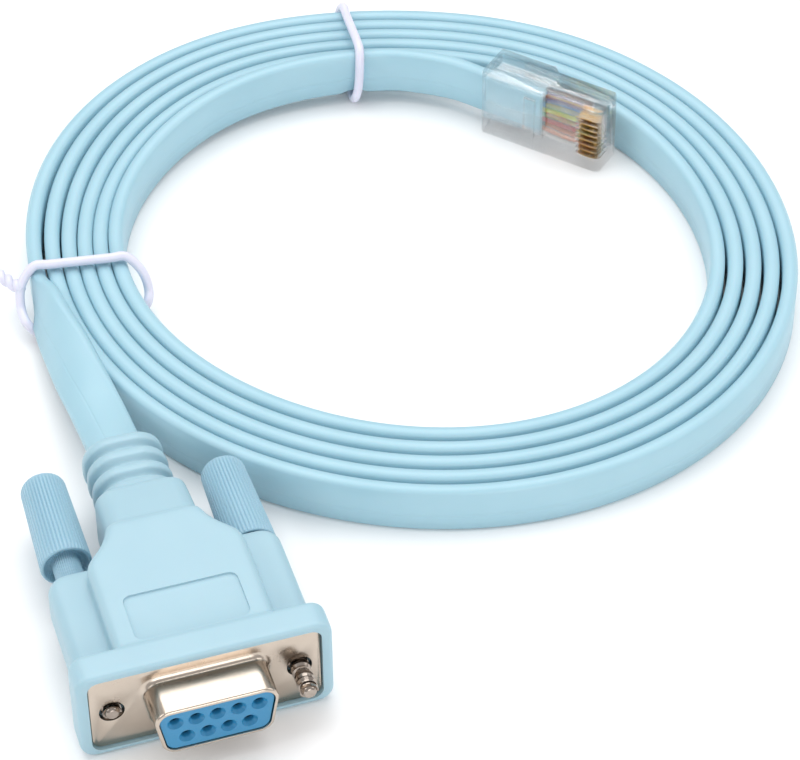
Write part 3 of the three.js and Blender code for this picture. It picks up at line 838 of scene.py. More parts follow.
def build_thread(tree: bpy.types.NodeTree, given: dict[str, bpy.types.NodeSocket]) -> bpy.types.NodeSocket:
    """Wind a three-sided ridge up a helix about Z and join it to the screw.

    Args:
        tree: the tree to build in.
        given: the tree's inputs by name.

    Returns:
        The socket with the screw and its thread.
    """
    turns = add_node(tree, "ShaderNodeMath", {0: given["Length"], 1: given["Pitch"]}, operation="DIVIDE")
    helix = add_node(
        tree,
        "GeometryNodeCurveSpiral",
        {
            "Resolution": 28,
            "Rotations": turns.outputs[0],
            "Start Radius": given["Root"],
            "End Radius": given["Root"],
            "Height": given["Length"],
        },
    )
    ridge = add_node(tree, "GeometryNodeCurvePrimitiveCircle", {"Resolution": 3, "Radius": given["Ridge"]})
    swept = add_node(
        tree,
        "GeometryNodeCurveToMesh",
        {"Curve": helix.outputs[0], "Profile Curve": ridge.outputs[0], "Fill Caps": True},
    )
    both = add_node(tree, "GeometryNodeJoinGeometry")
    tree.links.new(swept.outputs[0], both.inputs[0])
    tree.links.new(given["Geometry"], both.inputs[0])
    return both.outputs[0]


def build_rows(tree: bpy.types.NodeTree, given: dict[str, bpy.types.NodeSocket]) -> bpy.types.NodeSocket:
    """Repeat the piece at the places of two staggered rows in X and Z.

    Args:
        tree: the tree to build in.
        given: the tree's inputs by name.

    Returns:
        The socket with the instances.
    """
    places = add_node(tree, "GeometryNodeJoinGeometry")
    for count, side in (("Upper", 0.5), ("Lower", -0.5)):
        less = add_node(tree, "ShaderNodeMath", {0: given[count], 1: -1.0}, operation="ADD")
        run = add_node(tree, "ShaderNodeMath", {0: less.outputs[0], 1: given["Pitch"]}, operation="MULTIPLY")
        first = add_node(tree, "ShaderNodeMath", {0: run.outputs[0], 1: -0.5}, operation="MULTIPLY")
        height = add_node(tree, "ShaderNodeMath", {0: given["Row Spacing"], 1: side}, operation="MULTIPLY")
        start = add_node(tree, "ShaderNodeCombineXYZ", {"X": first.outputs[0], "Z": height.outputs[0]})
        step = add_node(tree, "ShaderNodeCombineXYZ", {"X": given["Pitch"]})
        row = add_node(
            tree,
            "GeometryNodeMeshLine",
            {"Count": given[count], "Start Location": start.outputs[0], "Offset": step.outputs[0]},
        )
        tree.links.new(row.outputs[0], places.inputs[0])
    repeated = add_node(
        tree, "GeometryNodeInstanceOnPoints", {"Points": places.outputs[0], "Instance": given["Geometry"]}
    )
    return repeated.outputs[0]


def build_line(tree: bpy.types.NodeTree, given: dict[str, bpy.types.NodeSocket]) -> bpy.types.NodeSocket:
    """Repeat the piece in one line along Z.

    Args:
        tree: the tree to build in.
        given: the tree's inputs by name.

    Returns:
        The socket with the instances.
    """
    step = add_node(tree, "ShaderNodeCombineXYZ", {"Z": given["Pitch"]})
    start = add_node(tree, "ShaderNodeCombineXYZ", {"Z": given["First"]})
    row = add_node(
        tree,
        "GeometryNodeMeshLine",
        {"Count": given["Count"], "Start Location": start.outputs[0], "Offset": step.outputs[0]},
    )
    repeated = add_node(
        tree, "GeometryNodeInstanceOnPoints", {"Points": row.outputs[0], "Instance": given["Geometry"]}
    )
    return repeated.outputs[0]


NUMBER, COUNT = "NodeSocketFloat", "NodeSocketInt"
RIBBON = GeometryTree("ribbon", {"Width": NUMBER, "Thickness": NUMBER, "Edge": NUMBER}, build_ribbon)
WIRE = GeometryTree("round_wire", {"Radius": NUMBER, "Sides": COUNT}, build_wire)
FLUTES = GeometryTree(
    "flutes",
    {"Count": NUMBER, "Depth": NUMBER, "From": NUMBER, "Full From": NUMBER, "Full To": NUMBER, "To": NUMBER},
    build_flutes,
)
THREAD = GeometryTree(
    "thread", {"Pitch": NUMBER, "Length": NUMBER, "Root": NUMBER, "Ridge": NUMBER}, build_thread
)
ROWS = GeometryTree(
    "rows", {"Upper": COUNT, "Lower": COUNT, "Pitch": NUMBER, "Row Spacing": NUMBER}, build_rows
)
LINE = GeometryTree("line", {"Count": COUNT, "First": NUMBER, "Pitch": NUMBER}, build_line)


@dataclass
class Studio:
    """The camera at the photograph's angle, a plain pale floor and soft lights."""

    camera_place: tuple[float, float, float] = (-59.82, -294.83, 327.89)
    azimuth: float = 17.392
    elevation: float = 43.463
    roll: float = -0.531
    lens: float = 148.5
    floor_colour: str = "#f7f7f7"
    sky: float = 0.62
    aim: tuple[float, float, float] = (0.04, 0.03, 0)
    lights: tuple[tuple[str, tuple[float, float, float], float, float], ...] = (
        ("overhead", (0.1, 0.5, 1.3), 1.4, 15.0),
        ("left", (-1.2, 0.1, 0.9), 0.8, 5.0),
        ("right", (1.2, -0.1, 0.8), 0.8, 3.5),
        ("front", (0.0, -1.4, 0.55), 0.9, 7.0),
    )  # name, place and size in metres, and power in watts

    def add_camera(self) -> None:
        """Place the camera and make it the scene's own."""
        across, up = math.radians(self.azimuth), math.radians(self.elevation)
        forward = Vector((math.sin(across) * math.cos(up), math.cos(across) * math.cos(up), -math.sin(up)))
        right = Vector((math.cos(across), -math.sin(across), 0))
        above = right.cross(forward)
        roll = math.radians(self.roll)
        x = math.cos(roll) * right + math.sin(roll) * above
        y = -math.sin(roll) * right + math.cos(roll) * above
        data = bpy.data.cameras.new("camera")
        data.lens = self.lens
        data.sensor_width = 36
        data.sensor_fit = "HORIZONTAL"
        data.clip_start = 0.01
        camera = bpy.data.objects.new("camera", data)
        bpy.context.scene.collection.objects.link(camera)
        place = Matrix((x, y, -forward)).transposed().to_4x4()
        place.translation = Vector(self.camera_place) * METRES
        camera.matrix_world = place
        bpy.context.scene.camera = camera

    def add_floor(self) -> None:
        """Lay the pale floor."""
        floor = mesh_object("floor", [(-3, -3, 0), (3, -3, 0), (3, 3, 0), (-3, 3, 0)], [(0, 1, 2, 3)])
        material, tree, shader = start_material("matt_white_paper", IOR=1.4)
        place = add_node(tree, "ShaderNodeTexCoord").outputs["Object"]
        fibres = add_node(tree, "ShaderNodeTexNoise", {"Vector": place, "Scale": 900.0, "Detail": 2.0})
        gloss = add_node(
            tree, "ShaderNodeMapRange", {"Value": fibres.outputs["Fac"], "To Min": 0.85, "To Max": 0.95}
        )
        shader.inputs["Base Color"].default_value = linear(self.floor_colour)
        tree.links.new(gloss.outputs[0], shader.inputs["Roughness"])
        floor.data.materials.append(material)

    def add_light(self, name: str, place: tuple[float, float, float], size: float, power: float) -> None:
        """Hang a square soft light that looks at the part.

        Args:
            name: the light's name.
            place: where it hangs, in metres.
            size: the length of its side, in metres.
            power: its power in watts.
        """
        data = bpy.data.lights.new(name, "AREA")
        data.shape = "SQUARE"
        data.size = size
        data.energy = power
        light = bpy.data.objects.new(name, data)
        bpy.context.scene.collection.objects.link(light)
        light.location = place
        way = Vector(self.aim) - Vector(place)
        light.rotation_euler = way.to_track_quat("-Z", "Y").to_euler()

    def build(self) -> None:
        """Set up the whole studio."""
        self.add_camera()
        self.add_floor()
        for light in self.lights:
            self.add_light(*light)
        world = bpy.data.worlds.new("studio")
        world.use_nodes = True
        bpy.context.scene.world = world
        background = world.node_tree.nodes["Background"]
        background.inputs["Color"].default_value = linear("#f2f2f4")
        background.inputs["Strength"].default_value = self.sky
        bpy.context.scene.view_settings.view_transform = "Standard"


@dataclass
class Coil:
    """The rule of the oval spiral that the flat cable is wound in."""

    centre: tuple[float, float] = (52.6, 57.8)
    radius: float = 56.5
    oval: float = 2.27
    oval_angle: float = math.radians(130.8)
    pitch: float = 2.62
    pitch_swing: float = 0.2
    pitch_angle: float = math.radians(-102)
    pinch: float = 1.1
    pinch_angle: float = math.radians(88)
    pinch_sharpness: float = 13
    dents: tuple[tuple[float, float, float, float], ...] = (
        (1.5, math.radians(174), math.radians(9.3), 5.0),
        (0.9, math.radians(69), 0.0, 14.0),
        (0.7, math.radians(-10), 0.0, 8.0),
    )  # depth, angle, how far the angle moves with each turn, sharpness
    start: float = math.radians(172)
    turns: int = 5

    def radius_at(self, angle: float, turn: float) -> float:
        """Work out how far the cable's middle is from the coil's centre.

        Args:
            angle: the angle about the centre.
            turn: how many turns in from the outer end.

        Returns:
            The distance in millimetres.
        """
        oval = self.oval * math.cos(2 * (angle - self.oval_angle))
        pinch = self.pinch * math.exp((math.cos(angle - self.pinch_angle) - 1) * self.pinch_sharpness)
        pitch = self.pitch + self.pitch_swing * math.cos(angle - self.pitch_angle)
        dent = sum(
            depth * math.exp((math.cos(angle - at + moves * turn) - 1) * sharpness)
            for depth, at, moves, sharpness in self.dents
        )
        return self.radius + oval - pinch - dent - pitch * turn

    def at(self, angle: float, radius: float, height: float) -> np.ndarray:
        """Return the point at an angle and radius about the coil's centre."""
        x, y = self.centre
        return np.array((x + radius * math.cos(angle), y + radius * math.sin(angle), height))

    def middle(self, turn: float, height: float) -> np.ndarray:
        """Return the cable's middle at a turn counted from the outer end."""
        angle = self.start - TURN * turn
        return self.at(angle, self.radius_at(angle, turn), height)


COIL = Coil()


def smoothstep(value: float, low: float, high: float) -> float:
    """Return the smooth share of the way from low to high."""
    share = min(1.0, max(0.0, (value - low) / (high - low)))
    return share * share * (3 - 2 * share)


@dataclass
class TwistTie:
    """One coated wire round the turns, its two ends twisted together.

    Above and below are the angles at which it crosses the turns on top and underneath.
    """

    name: str
    above: float
    below: float
    ease: float
    slack_in: float
    slack_out: float
    stub_at: float
    heading: float
    radius: float = 0.7
    room: float = 0.3
    stub_length: float = 5.4
    twist: float = 3.2

    def loop(self, cable: "FlatCable") -> np.ndarray:
        """Lay the wire round the turns, on the floor where it passes below them.

        Args:
            cable: the cable that it holds.

        Returns:
            The points of the closed loop.
        """
        turn = (COIL.start - self.above) / TURN
        off = cable.thickness / 2 + self.room + self.radius + self.ease
        inner = turn + COIL.turns
        outside = max(COIL.radius_at(self.above, turn), COIL.radius_at(self.below, turn)) + off
        inside = min(COIL.radius_at(self.above, inner), COIL.radius_at(self.below, inner)) - off
        top = cable.width + self.room + self.radius
        top_in = top + cable.climb(inner)
        bend = off - 0.4
        low = self.radius
        places = (
            (0, outside - bend, top),
            (0, outside - 2 * bend, top),
            (0, inside + 2 * bend, top_in),
            (0, inside + bend, top_in),
            (0.25, inside, top_in - bend),
            (0.6, inside - self.slack_in, cable.width / 2),
            (0.9, inside, bend + low),
            (1, inside + bend, low),
            (1, inside + 2 * bend, low),
            (1, outside - 2 * bend, low),
            (1, outside - bend, low),
            (0.9, outside, bend + low),
            (0.5, outside + self.slack_out, cable.width / 2),
            (0.2, outside, top - bend),
        )
        points = [COIL.at(self.above + (self.below - self.above) * s, r, z) for s, r, z in places]
        curve = smooth_curve(points, 0.5, closed=True)
        curve[:, 2] = np.maximum(curve[:, 2], low)
        return curve

    def build(self, cable: "FlatCable") -> bpy.types.Object:
        """Make the loop and its twisted ends and dress them.

        Args:
            cable: the cable that it holds.

        Returns:
            The piece.
        """
        curve = self.loop(cable)
        parts = [WIRE.apply(path_object("loop", curve, closed=True), TIE_COAT, Radius=self.radius, Sides=14)]
        start = curve[int(self.stub_at * len(curve)) % len(curve)]
        way = COIL.at(self.above - self.heading, 1, 0) - COIL.at(0, 0, 0)
        side = np.array((-way[1], way[0], 0))
        up = np.array((0, 0, 1.0))
        for phase in (0, math.pi):
            strand = []
            for step in range(40):
                along = self.stub_length * step / 39 - 0.5
                angle = phase + TURN * along / self.twist
                spread = 0.62 * self.radius * smoothstep(along, -0.6, 0.6)
                strand.append(start + way * along + (side * math.cos(angle) + up * math.sin(angle)) * spread)
            strand = np.array(strand)
            end = path_object("strand", strand)
            parts.append(WIRE.apply(end, TIE_COAT, Radius=self.radius * 0.82, Sides=12))
        return finish_piece(join(f"coated_{self.name}", parts), TIE_COAT, Body.CABLE, self.name)


TIES = (
    TwistTie(
        "twist_tie_left",
        above=math.radians(171),
        below=math.radians(178),
        ease=0.5,
        slack_in=0.6,
        slack_out=0.5,
        stub_at=13 / 14,
        heading=math.radians(50),
    ),
    TwistTie(
        "twist_tie_back",
        above=math.radians(83.5),
        below=math.radians(85),
        ease=0.0,
        slack_in=0.1,
        slack_out=0.1,
        stub_at=12 / 14,
        heading=math.radians(70),
    ),
)


@dataclass
class FlatCable:
    """The flat cable in one run: from the boot, down on to its edge, round the coil and into the plug."""

    width: float = 7.5
    thickness: float = 2.2
    edge: float = 0.5
    step: float = 2.0
    last_turn: float = 5.262
    climb_end: float = 0.31
    plug_width: float = 11.68
    tail: tuple[tuple[float, float, float, float], ...] = (
        (-2.4, 60, 5.3, 25),
        (-2.2, 55, 5.6, 37),
        (-1.8, 50, 6.0, 49),
        (-1.5, 45, 6.3, 58),
        (-1.2, 41, 6.5, 68),
        (-0.9, 37, 6.7, 77),
        (-0.6, 32, 7.0, 82),
        (-0.4, 28, 7.3, 86),
        (0, 24.2, 7.4, 90),
    )  # the middle, and how far the cable's width leans over from upright, in degrees

    def climb(self, turn: float) -> float:
        """Return how far the last turn has risen off the floor to meet the plug."""
        return (self.plug_width - self.width) / 2 * smoothstep(turn - COIL.turns, 0, self.climb_end)

    def on_coil(self, turn: float) -> np.ndarray:
        """Return the cable's middle at a turn."""
        return COIL.middle(turn, self.width / 2 + self.climb(turn))

    def route(self, plug: "Plug") -> tuple[np.ndarray, np.ndarray]:
        """Work out the cable's way.

        Args:
            plug: the plug that it ends in.

        Returns:
            The middle points from the boot to the plug, and the direction of its width at each.
        """
        millimetre = 1 / (TURN * COIL.radius)
        middles = [point[:3] for point in self.tail]
        tail = smooth_curve([self.on_coil(0), self.on_coil(-2 * millimetre), *middles], self.step)
        reached = [point[1] for point in reversed(self.tail)] + [tail[0][1]]
        leans = [point[3] for point in reversed(self.tail)] + [0.0]
        ways = []
        for point in tail:
            angle = math.radians(float(np.interp(point[1], reached, leans)))
            ways.append((math.sin(angle), 0, math.cos(angle)))
        count = round(self.last_turn / millimetre / self.step)
        coil = np.array([self.on_coil(self.last_turn * k / count) for k in range(1, count)])
        inside = [plug.point(x, plug.jacket_axis, plug.axis) for x in plug.jacket_places]
        end_turns = (self.last_turn, self.last_turn + 2 * millimetre)
        end = smooth_curve([*(self.on_coil(turn) for turn in end_turns), *inside], self.step)
        points = np.vstack([tail[::-1], coil, end])
        upright = np.tile((0.0, 0.0, 1.0), (len(coil) + len(end), 1))
        return points, np.vstack([np.array(ways)[::-1], upright])

    def press_on_ties(self, made: bpy.types.Object) -> None:
        """Press the cable's lower edge up where it lies on the wire of a tie.

        Args:
            made: the swept cable, in millimetres.
        """
        co = np.empty(len(made.data.vertices) * 3)
        made.data.vertices.foreach_get("co", co)
        co = co.reshape(-1, 3)
        for tie in TIES:
            way = COIL.at(tie.below, 1, 0)[:2] - np.array(COIL.centre)
            from_centre = co[:, :2] - np.array(COIL.centre)
            along = from_centre @ way
            beside = from_centre @ np.array((-way[1], way[0]))
            near = np.exp(-((beside / 1.5) ** 4)) * (along > 0)
            rise = 2.25 * tie.radius * np.clip(1 - co[:, 2] / (0.45 * self.width), 0, 1)
            co[:, 2] += near * rise
        made.data.vertices.foreach_set("co", co.ravel())

    def build(self, plug: "Plug") -> tuple[bpy.types.Object, np.ndarray]:
        """Make the cable and dress it.

        Args:
            plug: the plug that it ends in.

        Returns:
            The piece and the points of its middle, in millimetres.
        """
        points, width_ways = self.route(plug)
        along = np.gradient(points, axis=0)
        along /= np.linalg.norm(along, axis=1)[:, None]
        through = np.cross(width_ways, along)
        through /= np.linalg.norm(through, axis=1)[:, None]
        lengths = np.concatenate([[0], np.cumsum(np.linalg.norm(np.diff(points, axis=0), axis=1))])
        path = path_object("flat_cable", points, through=through, along=lengths)
        finish = ExtrudedPVC()
        made = RIBBON.apply(path, finish, Width=self.width, Thickness=self.thickness, Edge=self.edge)
        self.press_on_ties(made)
        finish_piece(made, finish, Body.CABLE, "cable_coil", "cable_to_connector", "cable_to_plug", crease=60)
        log.info("flat cable: %.3f m", lengths[-1] * METRES)
        return made, points


PLATE_Y = -19.3  # the front of the connector's plate
AXIS_Z = 7.4  # the height of the connector's middle
SCREW_SPACING = 24.99
EARS_DEPTH = 21.9
LEFT_LEAN = math.radians(1.05)
# How far in each outline of the flange's rounded edge lies, by its distance from the face
EDGE_CURVE = ((0, 0.6), (0.12, 0.27), (0.35, 0.07), (0.6, 0))
# How much of its width the body has lost along the shoulder, as shares of both
SHOULDER_CURVE = (
    (0.0, 0.0),
    (0.1, 0.03),
    (0.2, 0.1),
    (0.32, 0.27),
    (0.45, 0.48),
    (0.6, 0.67),
    (0.75, 0.82),
    (0.9, 0.92),
)
# How far in the ears' outline lies beside and above, by its distance from their end
EAR_CURVE = (
    (2, 0, 0),
    (1.6, 0.03, 0),
    (1.24, 0.16, 0.01),
    (0.9, 0.32, 0.04),
    (0.58, 0.58, 0.08),
    (0.3, 0.9, 0.16),
    (0.1, 1.3, 0.3),
    (0, 1.8, 0.52),
)
# Depths and radii of what is cut out of the insulator for one socket
MOUTH_PROFILE = (
    (-1, 0),
    (-1, 1.08),
    (-0.02, 1.08),
    (0.12, 1.0),
    (0.42, 0.7),
    (0.5, 0.64),
    (1.2, 0.62),
    (1.2, 1.1),
    (15, 1.1),
    (15, 0),
)
# Depths from the knob's front face and radii of its neck, hollow and front edge
KNOB_FRONT = (
    (-6.5, 1.2),
    (-6.5, 1.78),
    (-6.4, 1.9),
    (0.75, 1.92),
    (0.95, 2.1),
    (0.75, 2.75),
    (0.1, 3.05),
    (0, 3.15),
    (0, 3.3),
    (0.1, 3.47),
    (0.3, 3.55),
)


@dataclass
class Connector:
    """The moulded hood with the plated shell, the blue insulator and the gold sockets."""

    plate_y: float = PLATE_Y
    axis_z: float = AXIS_Z
    screw_spacing: float = SCREW_SPACING
    plate: tuple[float, float, float, float] = (30.81, 12.55, 0.8, 1.4)
    hole: float = 1.7
    skirt_width: float = 16.33
    skirt_height: float = 7.9
    skirt_corner: float = 2.1
    skirt_slant: float = math.radians(10)
    reach: float = 5.9
    wall: float = 0.5
    flange: tuple[float, float, float] = (34.1, 14.8, 2.2)
    rim: float = 0.5
    flange_depth: float = 4.1
    ears: tuple[float, float, float] = (31.8, 7.6, 1.8)
    ears_depth: float = EARS_DEPTH
    body: tuple[float, float, float] = (21.4, 14.2, 1.3)
    shoulder: float = 18.6
    collar_width: float = 12.7
    boot: tuple[float, float, float] = (11.4, 9.6, 4.1)
    grooves: tuple[float, ...] = (36.0, 38.95, 41.9)
    groove: tuple[float, float] = (0.78, 0.9)
    pocket_room: float = 0.12
    cavity: tuple[float, float, float] = (19.2, 10.8, 1.3)
    screw_bore: float = 1.75
    knob_bore: float = 2.2
    left_lean: float = LEFT_LEAN
    label: tuple[float, float, float] = (15.4, 8.0, 1.2)
    label_middle: float = 8.4
    label_depth: float = 0.38
    root: float = 0.9
    lip: float = 0.36
    voxel: float = 0.26

    def place(self) -> Matrix:
        """Return where the connector's own frame lies."""
        return Matrix.Translation((0, self.plate_y, self.axis_z))

    def d_outline(self, growth: float) -> np.ndarray:
        """Draw the shell's D.

        Args:
            growth: how much larger it is all round than the skirt's outside.

        Returns:
            Its points, anticlockwise.
        """
        y = self.skirt_height / 2 - self.skirt_corner
        top = self.skirt_width / 2 - self.skirt_corner
        bottom = top - 2 * y * math.tan(self.skirt_slant)
        slant = math.degrees(self.skirt_slant)
        radius = self.skirt_corner + growth
        arcs = (
            (top, y, -slant, 90),
            (-top, y, 90, 180 + slant),
            (-bottom, -y, 180 + slant, 270),
            (bottom, -y, 270, 360 - slant),
        )
        points = []
        for cx, cy, start, end in arcs:
            for k in range(11):
                angle = math.radians(start + (end - start) * k / 10)
                points.append((cx + radius * math.cos(angle), cy + radius * math.sin(angle)))
        return np.array(points)

    def rod(
        self, side: float, radius: float, start: float, end: float, lean: float = 0.0
    ) -> bpy.types.Object:
        """Make a round cutter on a thumbscrew's axis.

        Args:
            side: -1 for the left screw, 1 for the right one.
            radius: its radius.
            start: the depth at which it starts.
            end: the depth at which it ends.
            lean: how far the axis leans, in radians.

        Returns:
            The cutter.
        """
        made = lathe("rod", [(start, 0), (start, radius), (end, radius), (end, 0)], 48)
        turn = Matrix.Translation((side * self.screw_spacing / 2, 0, 0)) @ Matrix.Rotation(-lean, 4, "Z")
        made.data.transform(turn)
        return made

    def boot_stations(self) -> Stations:
        """Draw the boot with a round-bottomed groove round it at each place.

        Returns:
            Its outlines along the cable.
        """
        width, height, corner = self.boot

        def at(inset: float) -> np.ndarray:
            """Return the boot's outline, smaller by the inset all round."""
            return rounded_rectangle(width - 2 * inset, height - 2 * inset, corner - inset * 0.5, 8)

        half, depth = self.groove
        stations = [(31.0, at(0))]
        for middle in self.grooves:
            for k in range(-6, 7):
                share = k / 6
                stations.append((middle + half * share, at(depth * (1 - abs(share) ** 2.4))))
        stations += [(43.7, at(0)), (44.2, at(0.18)), (44.5, at(0.6))]
        return stations

    def build_hood(self) -> None:
        """Loft the flange, body, ears and boot, melt them into one moulding and cut what is set into it."""
        width, height, corner = self.flange
        edge = [
            (d, rounded_rectangle(width - 2 * inset, height - 2 * inset, corner - inset))
            for d, inset in EDGE_CURVE
        ]
        flange = [(-self.rim + d, outline) for d, outline in edge]
        flange += [(self.flange_depth - d, outline) for d, outline in reversed(edge)]
        bw, bh, bc = self.body
        narrow = self.collar_width
        run = 26 - self.shoulder
        body = [(3.5, rounded_rectangle(bw, bh, bc))]
        body += [
            (self.shoulder + back_share * run, rounded_rectangle(bw - (bw - narrow) * share, bh, bc))
            for back_share, share in SHOULDER_CURVE
        ]
        body += [
            (25.75, rounded_rectangle(bw - (bw - narrow) * 0.96, bh - 0.2, bc)),
            (26.05, rounded_rectangle(narrow, 13.5, 2.2)),
            (29.5, rounded_rectangle(narrow, 12.6, 2.4)),
            (33.1, rounded_rectangle(narrow, 11.4, 2.6)),
            (33.5, rounded_rectangle(narrow - 0.5, 10.9, 2.6)),
            (33.6, rounded_rectangle(narrow - 1.0, 10.4, 2.6)),
        ]
        ew, eh, ec = self.ears
        ears = [(3.5, rounded_rectangle(ew, eh, ec))]
        ears += [
            (self.ears_depth - left, rounded_rectangle(ew - 2 * inset, eh - 2 * low, ec - low))
            for left, inset, low in EAR_CURVE
        ]
        hood, *parts = (
            loft(name, stations)
            for name, stations in (
                ("flange", flange),
                ("body", body),
                ("ears", ears),
                ("boot", self.boot_stations()),
            )
        )
        for part in parts:
            combine(hood, part, "UNION")
        hood.name = "moulded_hood"
        modify(hood, "REMESH", mode="VOXEL", voxel_size=self.voxel)
        modify(hood, "SMOOTH", factor=0.5, iterations=5)
        pw, ph, thick, pc = self.plate
        room = self.pocket_room
        pocket = rounded_rectangle(pw + 2 * room, ph + 2 * room, pc + room, 8)
        combine(hood, loft("pocket", [(-2, pocket), (thick + 0.3, pocket)]))
        cavity = rounded_rectangle(*self.cavity, 8)
        combine(hood, loft("cavity", [(0.5, cavity), (7.7, cavity)]))
        for side, lean in ((-1, self.left_lean), (1, 0.0)):
            combine(hood, self.rod(side, self.screw_bore, 0.5, 20, lean))
            combine(hood, self.rod(side, self.knob_bore, 14.8, 24, lean))
        lw, lh, lc = self.label
        label = rounded_rectangle(lw, lh, lc, 8)
        floor = rounded_rectangle(lw - 0.5, lh - 0.5, lc - 0.25, 8)
        top = bh / 2
        levels = [(top - self.label_depth, floor), (top - 0.3, label * 0.995), (top + 1, label * 1.02)]
        recess = loft("recess", levels)
        upright = Matrix.Rotation(math.pi / 2, 4, "X")
        recess.data.transform(Matrix.Translation((0, self.label_middle, 0)) @ upright)
        combine(hood, recess)
        finish_piece(hood, SKY_HOOD, Body.CABLE, "connector_hood", place=self.place(), crease=42)

    def build_shell(self) -> None:
        """Draw the D skirt up out of the plate, with the bend at its root and its rounded lip."""
        pw, ph, thick, pc = self.plate
        whole = rounded_rectangle(pw, ph, pc, 8)
        front = rounded_rectangle(pw - 0.16, ph - 0.16, pc, 8)
        plate = loft("plated_shell", [(0.0, front), (0.08, whole), (thick, whole)])
        root, lip = self.root, self.lip
        stations = [(-self.reach, self.d_outline(-lip))]
        for k in range(1, 6):
            angle = math.radians(18 * k)
            depth = -self.reach + lip * (1 - math.sin(math.pi / 2 - angle))
            stations.append((depth, self.d_outline(-lip * (1 - math.sin(angle)))))
        stations.append((-root, self.d_outline(0)))
        for k in range(1, 8):
            angle = math.radians(90 * k / 7)
            stations.append((-root + root * math.sin(angle), self.d_outline(root * (1 - math.cos(angle)))))
        stations.append((thick / 2, self.d_outline(root)))
        combine(plate, loft("skirt", stations), "UNION")
        inside = self.d_outline(-self.wall)
        combine(plate, loft("inside", [(-7, inside), (thick + 1, inside)]))
        for side in (-1, 1):
            combine(plate, self.rod(side, self.hole, -1, thick + 1))
        modify(plate, "BEVEL", width=0.07, segments=2, limit_method="ANGLE", angle_limit=math.radians(50))
        finish_piece(plate, NICKEL, Body.CABLE, "connector_shell", place=self.place(), crease=40)

    def build_insulator(self) -> None:
        """Make the insulator with its nine sunk mouths."""
        face = 0.2 - self.reach
        outline = self.d_outline(-self.wall - 0.12)
        front = self.d_outline(-self.wall - 0.2)
        block = loft("insulator", [(face, front), (face + 0.08, outline), (1.4, outline)])
        back = rounded_rectangle(18.6, 10.2, 1, 4)
        combine(block, loft("back", [(1.1, back), (7.4, back)]), "UNION")
        funnel = lathe("mouth", MOUTH_PROFILE, 28)
        funnel.data.transform(Matrix.Translation((0, face, 0)))
        ROWS.apply(funnel, SOCKET_PBT, Upper=5, Lower=4, Pitch=2.77, Row_Spacing=2.84)
        combine(block, funnel)
        block.name = "moulded_insulator"
        finish_piece(block, SOCKET_PBT, Body.CABLE, "socket_insulator", place=self.place(), crease=40)

    def dress_contacts(self) -> None:
        """Give the sockets their gold."""
        for number in range(1, 10):
            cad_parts[f"socket_contact_{number}"].material_slots[0].material = FINISHES.of(CONTACT_GOLD)

    def build(self) -> None:
        """Make every piece of the connector."""
        self.build_hood()
        self.build_shell()
        self.build_insulator()
        self.dress_contacts()


@dataclass
class Thumbscrew:
    """A nickel plated screw with a fluted knob moulded on its end."""

    side: str
    x: float
    back: float
    lean: float
    knob_body: Body
    screw_body: Body
    ears_depth: float = EARS_DEPTH
    gap: float = 0.3
    length: float = 35.0
    knob_length: float = 15.7
    flutes: int = 40
    flute_depth: float = 0.2

    def place(self) -> Matrix:
        """Return where the thumbscrew's own frame lies."""
        return Matrix.Translation((self.x, PLATE_Y, AXIS_Z)) @ Matrix.Rotation(-self.lean, 4, "Z")

    def build(self) -> None:
        """Make the knob and the screw."""
        face = self.ears_depth + self.gap + self.back
        end = face + self.knob_length
        sides = self.flutes * 8
        profile = [(face + depth, radius) for depth, radius in KNOB_FRONT]
        run = self.knob_length - 1.4
        profile += [(face + 0.3 + run * k / 12, 3.55 - 0.4 * k / 12) for k in range(1, 13)]
        for k in range(1, 7):
            angle = math.radians(15 * k)
            profile.append((end - 1.1 + 1.1 * math.sin(angle), 3.15 - 1.1 * (1 - math.cos(angle))))
        profile += [(end, 1.2), (end, 0), (face + 8.1, 0), (face + 8.1, 1.2), (face - 6.5, 1.2)]
        knob = lathe(f"fluted_knob_{self.side}", profile, sides)
        modify(knob, "WELD", merge_threshold=0.002)
        FLUTES.apply(
            knob,
            SKY_KNOB,
            Count=float(self.flutes),
            Depth=self.flute_depth,
            From=face,
            Full_From=face + 0.35,
            Full_To=end - 1.3,
            To=end - 0.3,
        )
        finish_piece(
            knob, SKY_KNOB, self.knob_body, f"thumbscrew_{self.side}_knob", place=self.place(), crease=50
        )
        screw_end = face + 7.8
        tip = screw_end - self.length
        profile = [(tip, 0), (tip, 0.72), (tip + 0.1, 0.86), (tip + 0.5, 1.06), (tip + 6.5, 1.06)]
        profile += [(tip + 7.1, 1.05), (screw_end, 1.05), (screw_end, 0)]
        screw = lathe(f"turned_screw_{self.side}", profile, 40)
        turn = Matrix.Rotation(math.pi / 2, 4, "X")
        screw.data.transform(turn @ Matrix.Translation((0, -tip - 0.35, 0)))
        THREAD.apply(screw, SCREW_NICKEL, Pitch=0.635, Length=6.0, Root=1.1, Ridge=0.24)
        screw.data.transform(Matrix.Translation((0, tip + 0.35, 0)) @ turn.inverted())
        finish_piece(
            screw,
            SCREW_NICKEL,
            self.screw_body,
            f"thumbscrew_{self.side}_screw",
            place=self.place(),
            crease=30,
        )


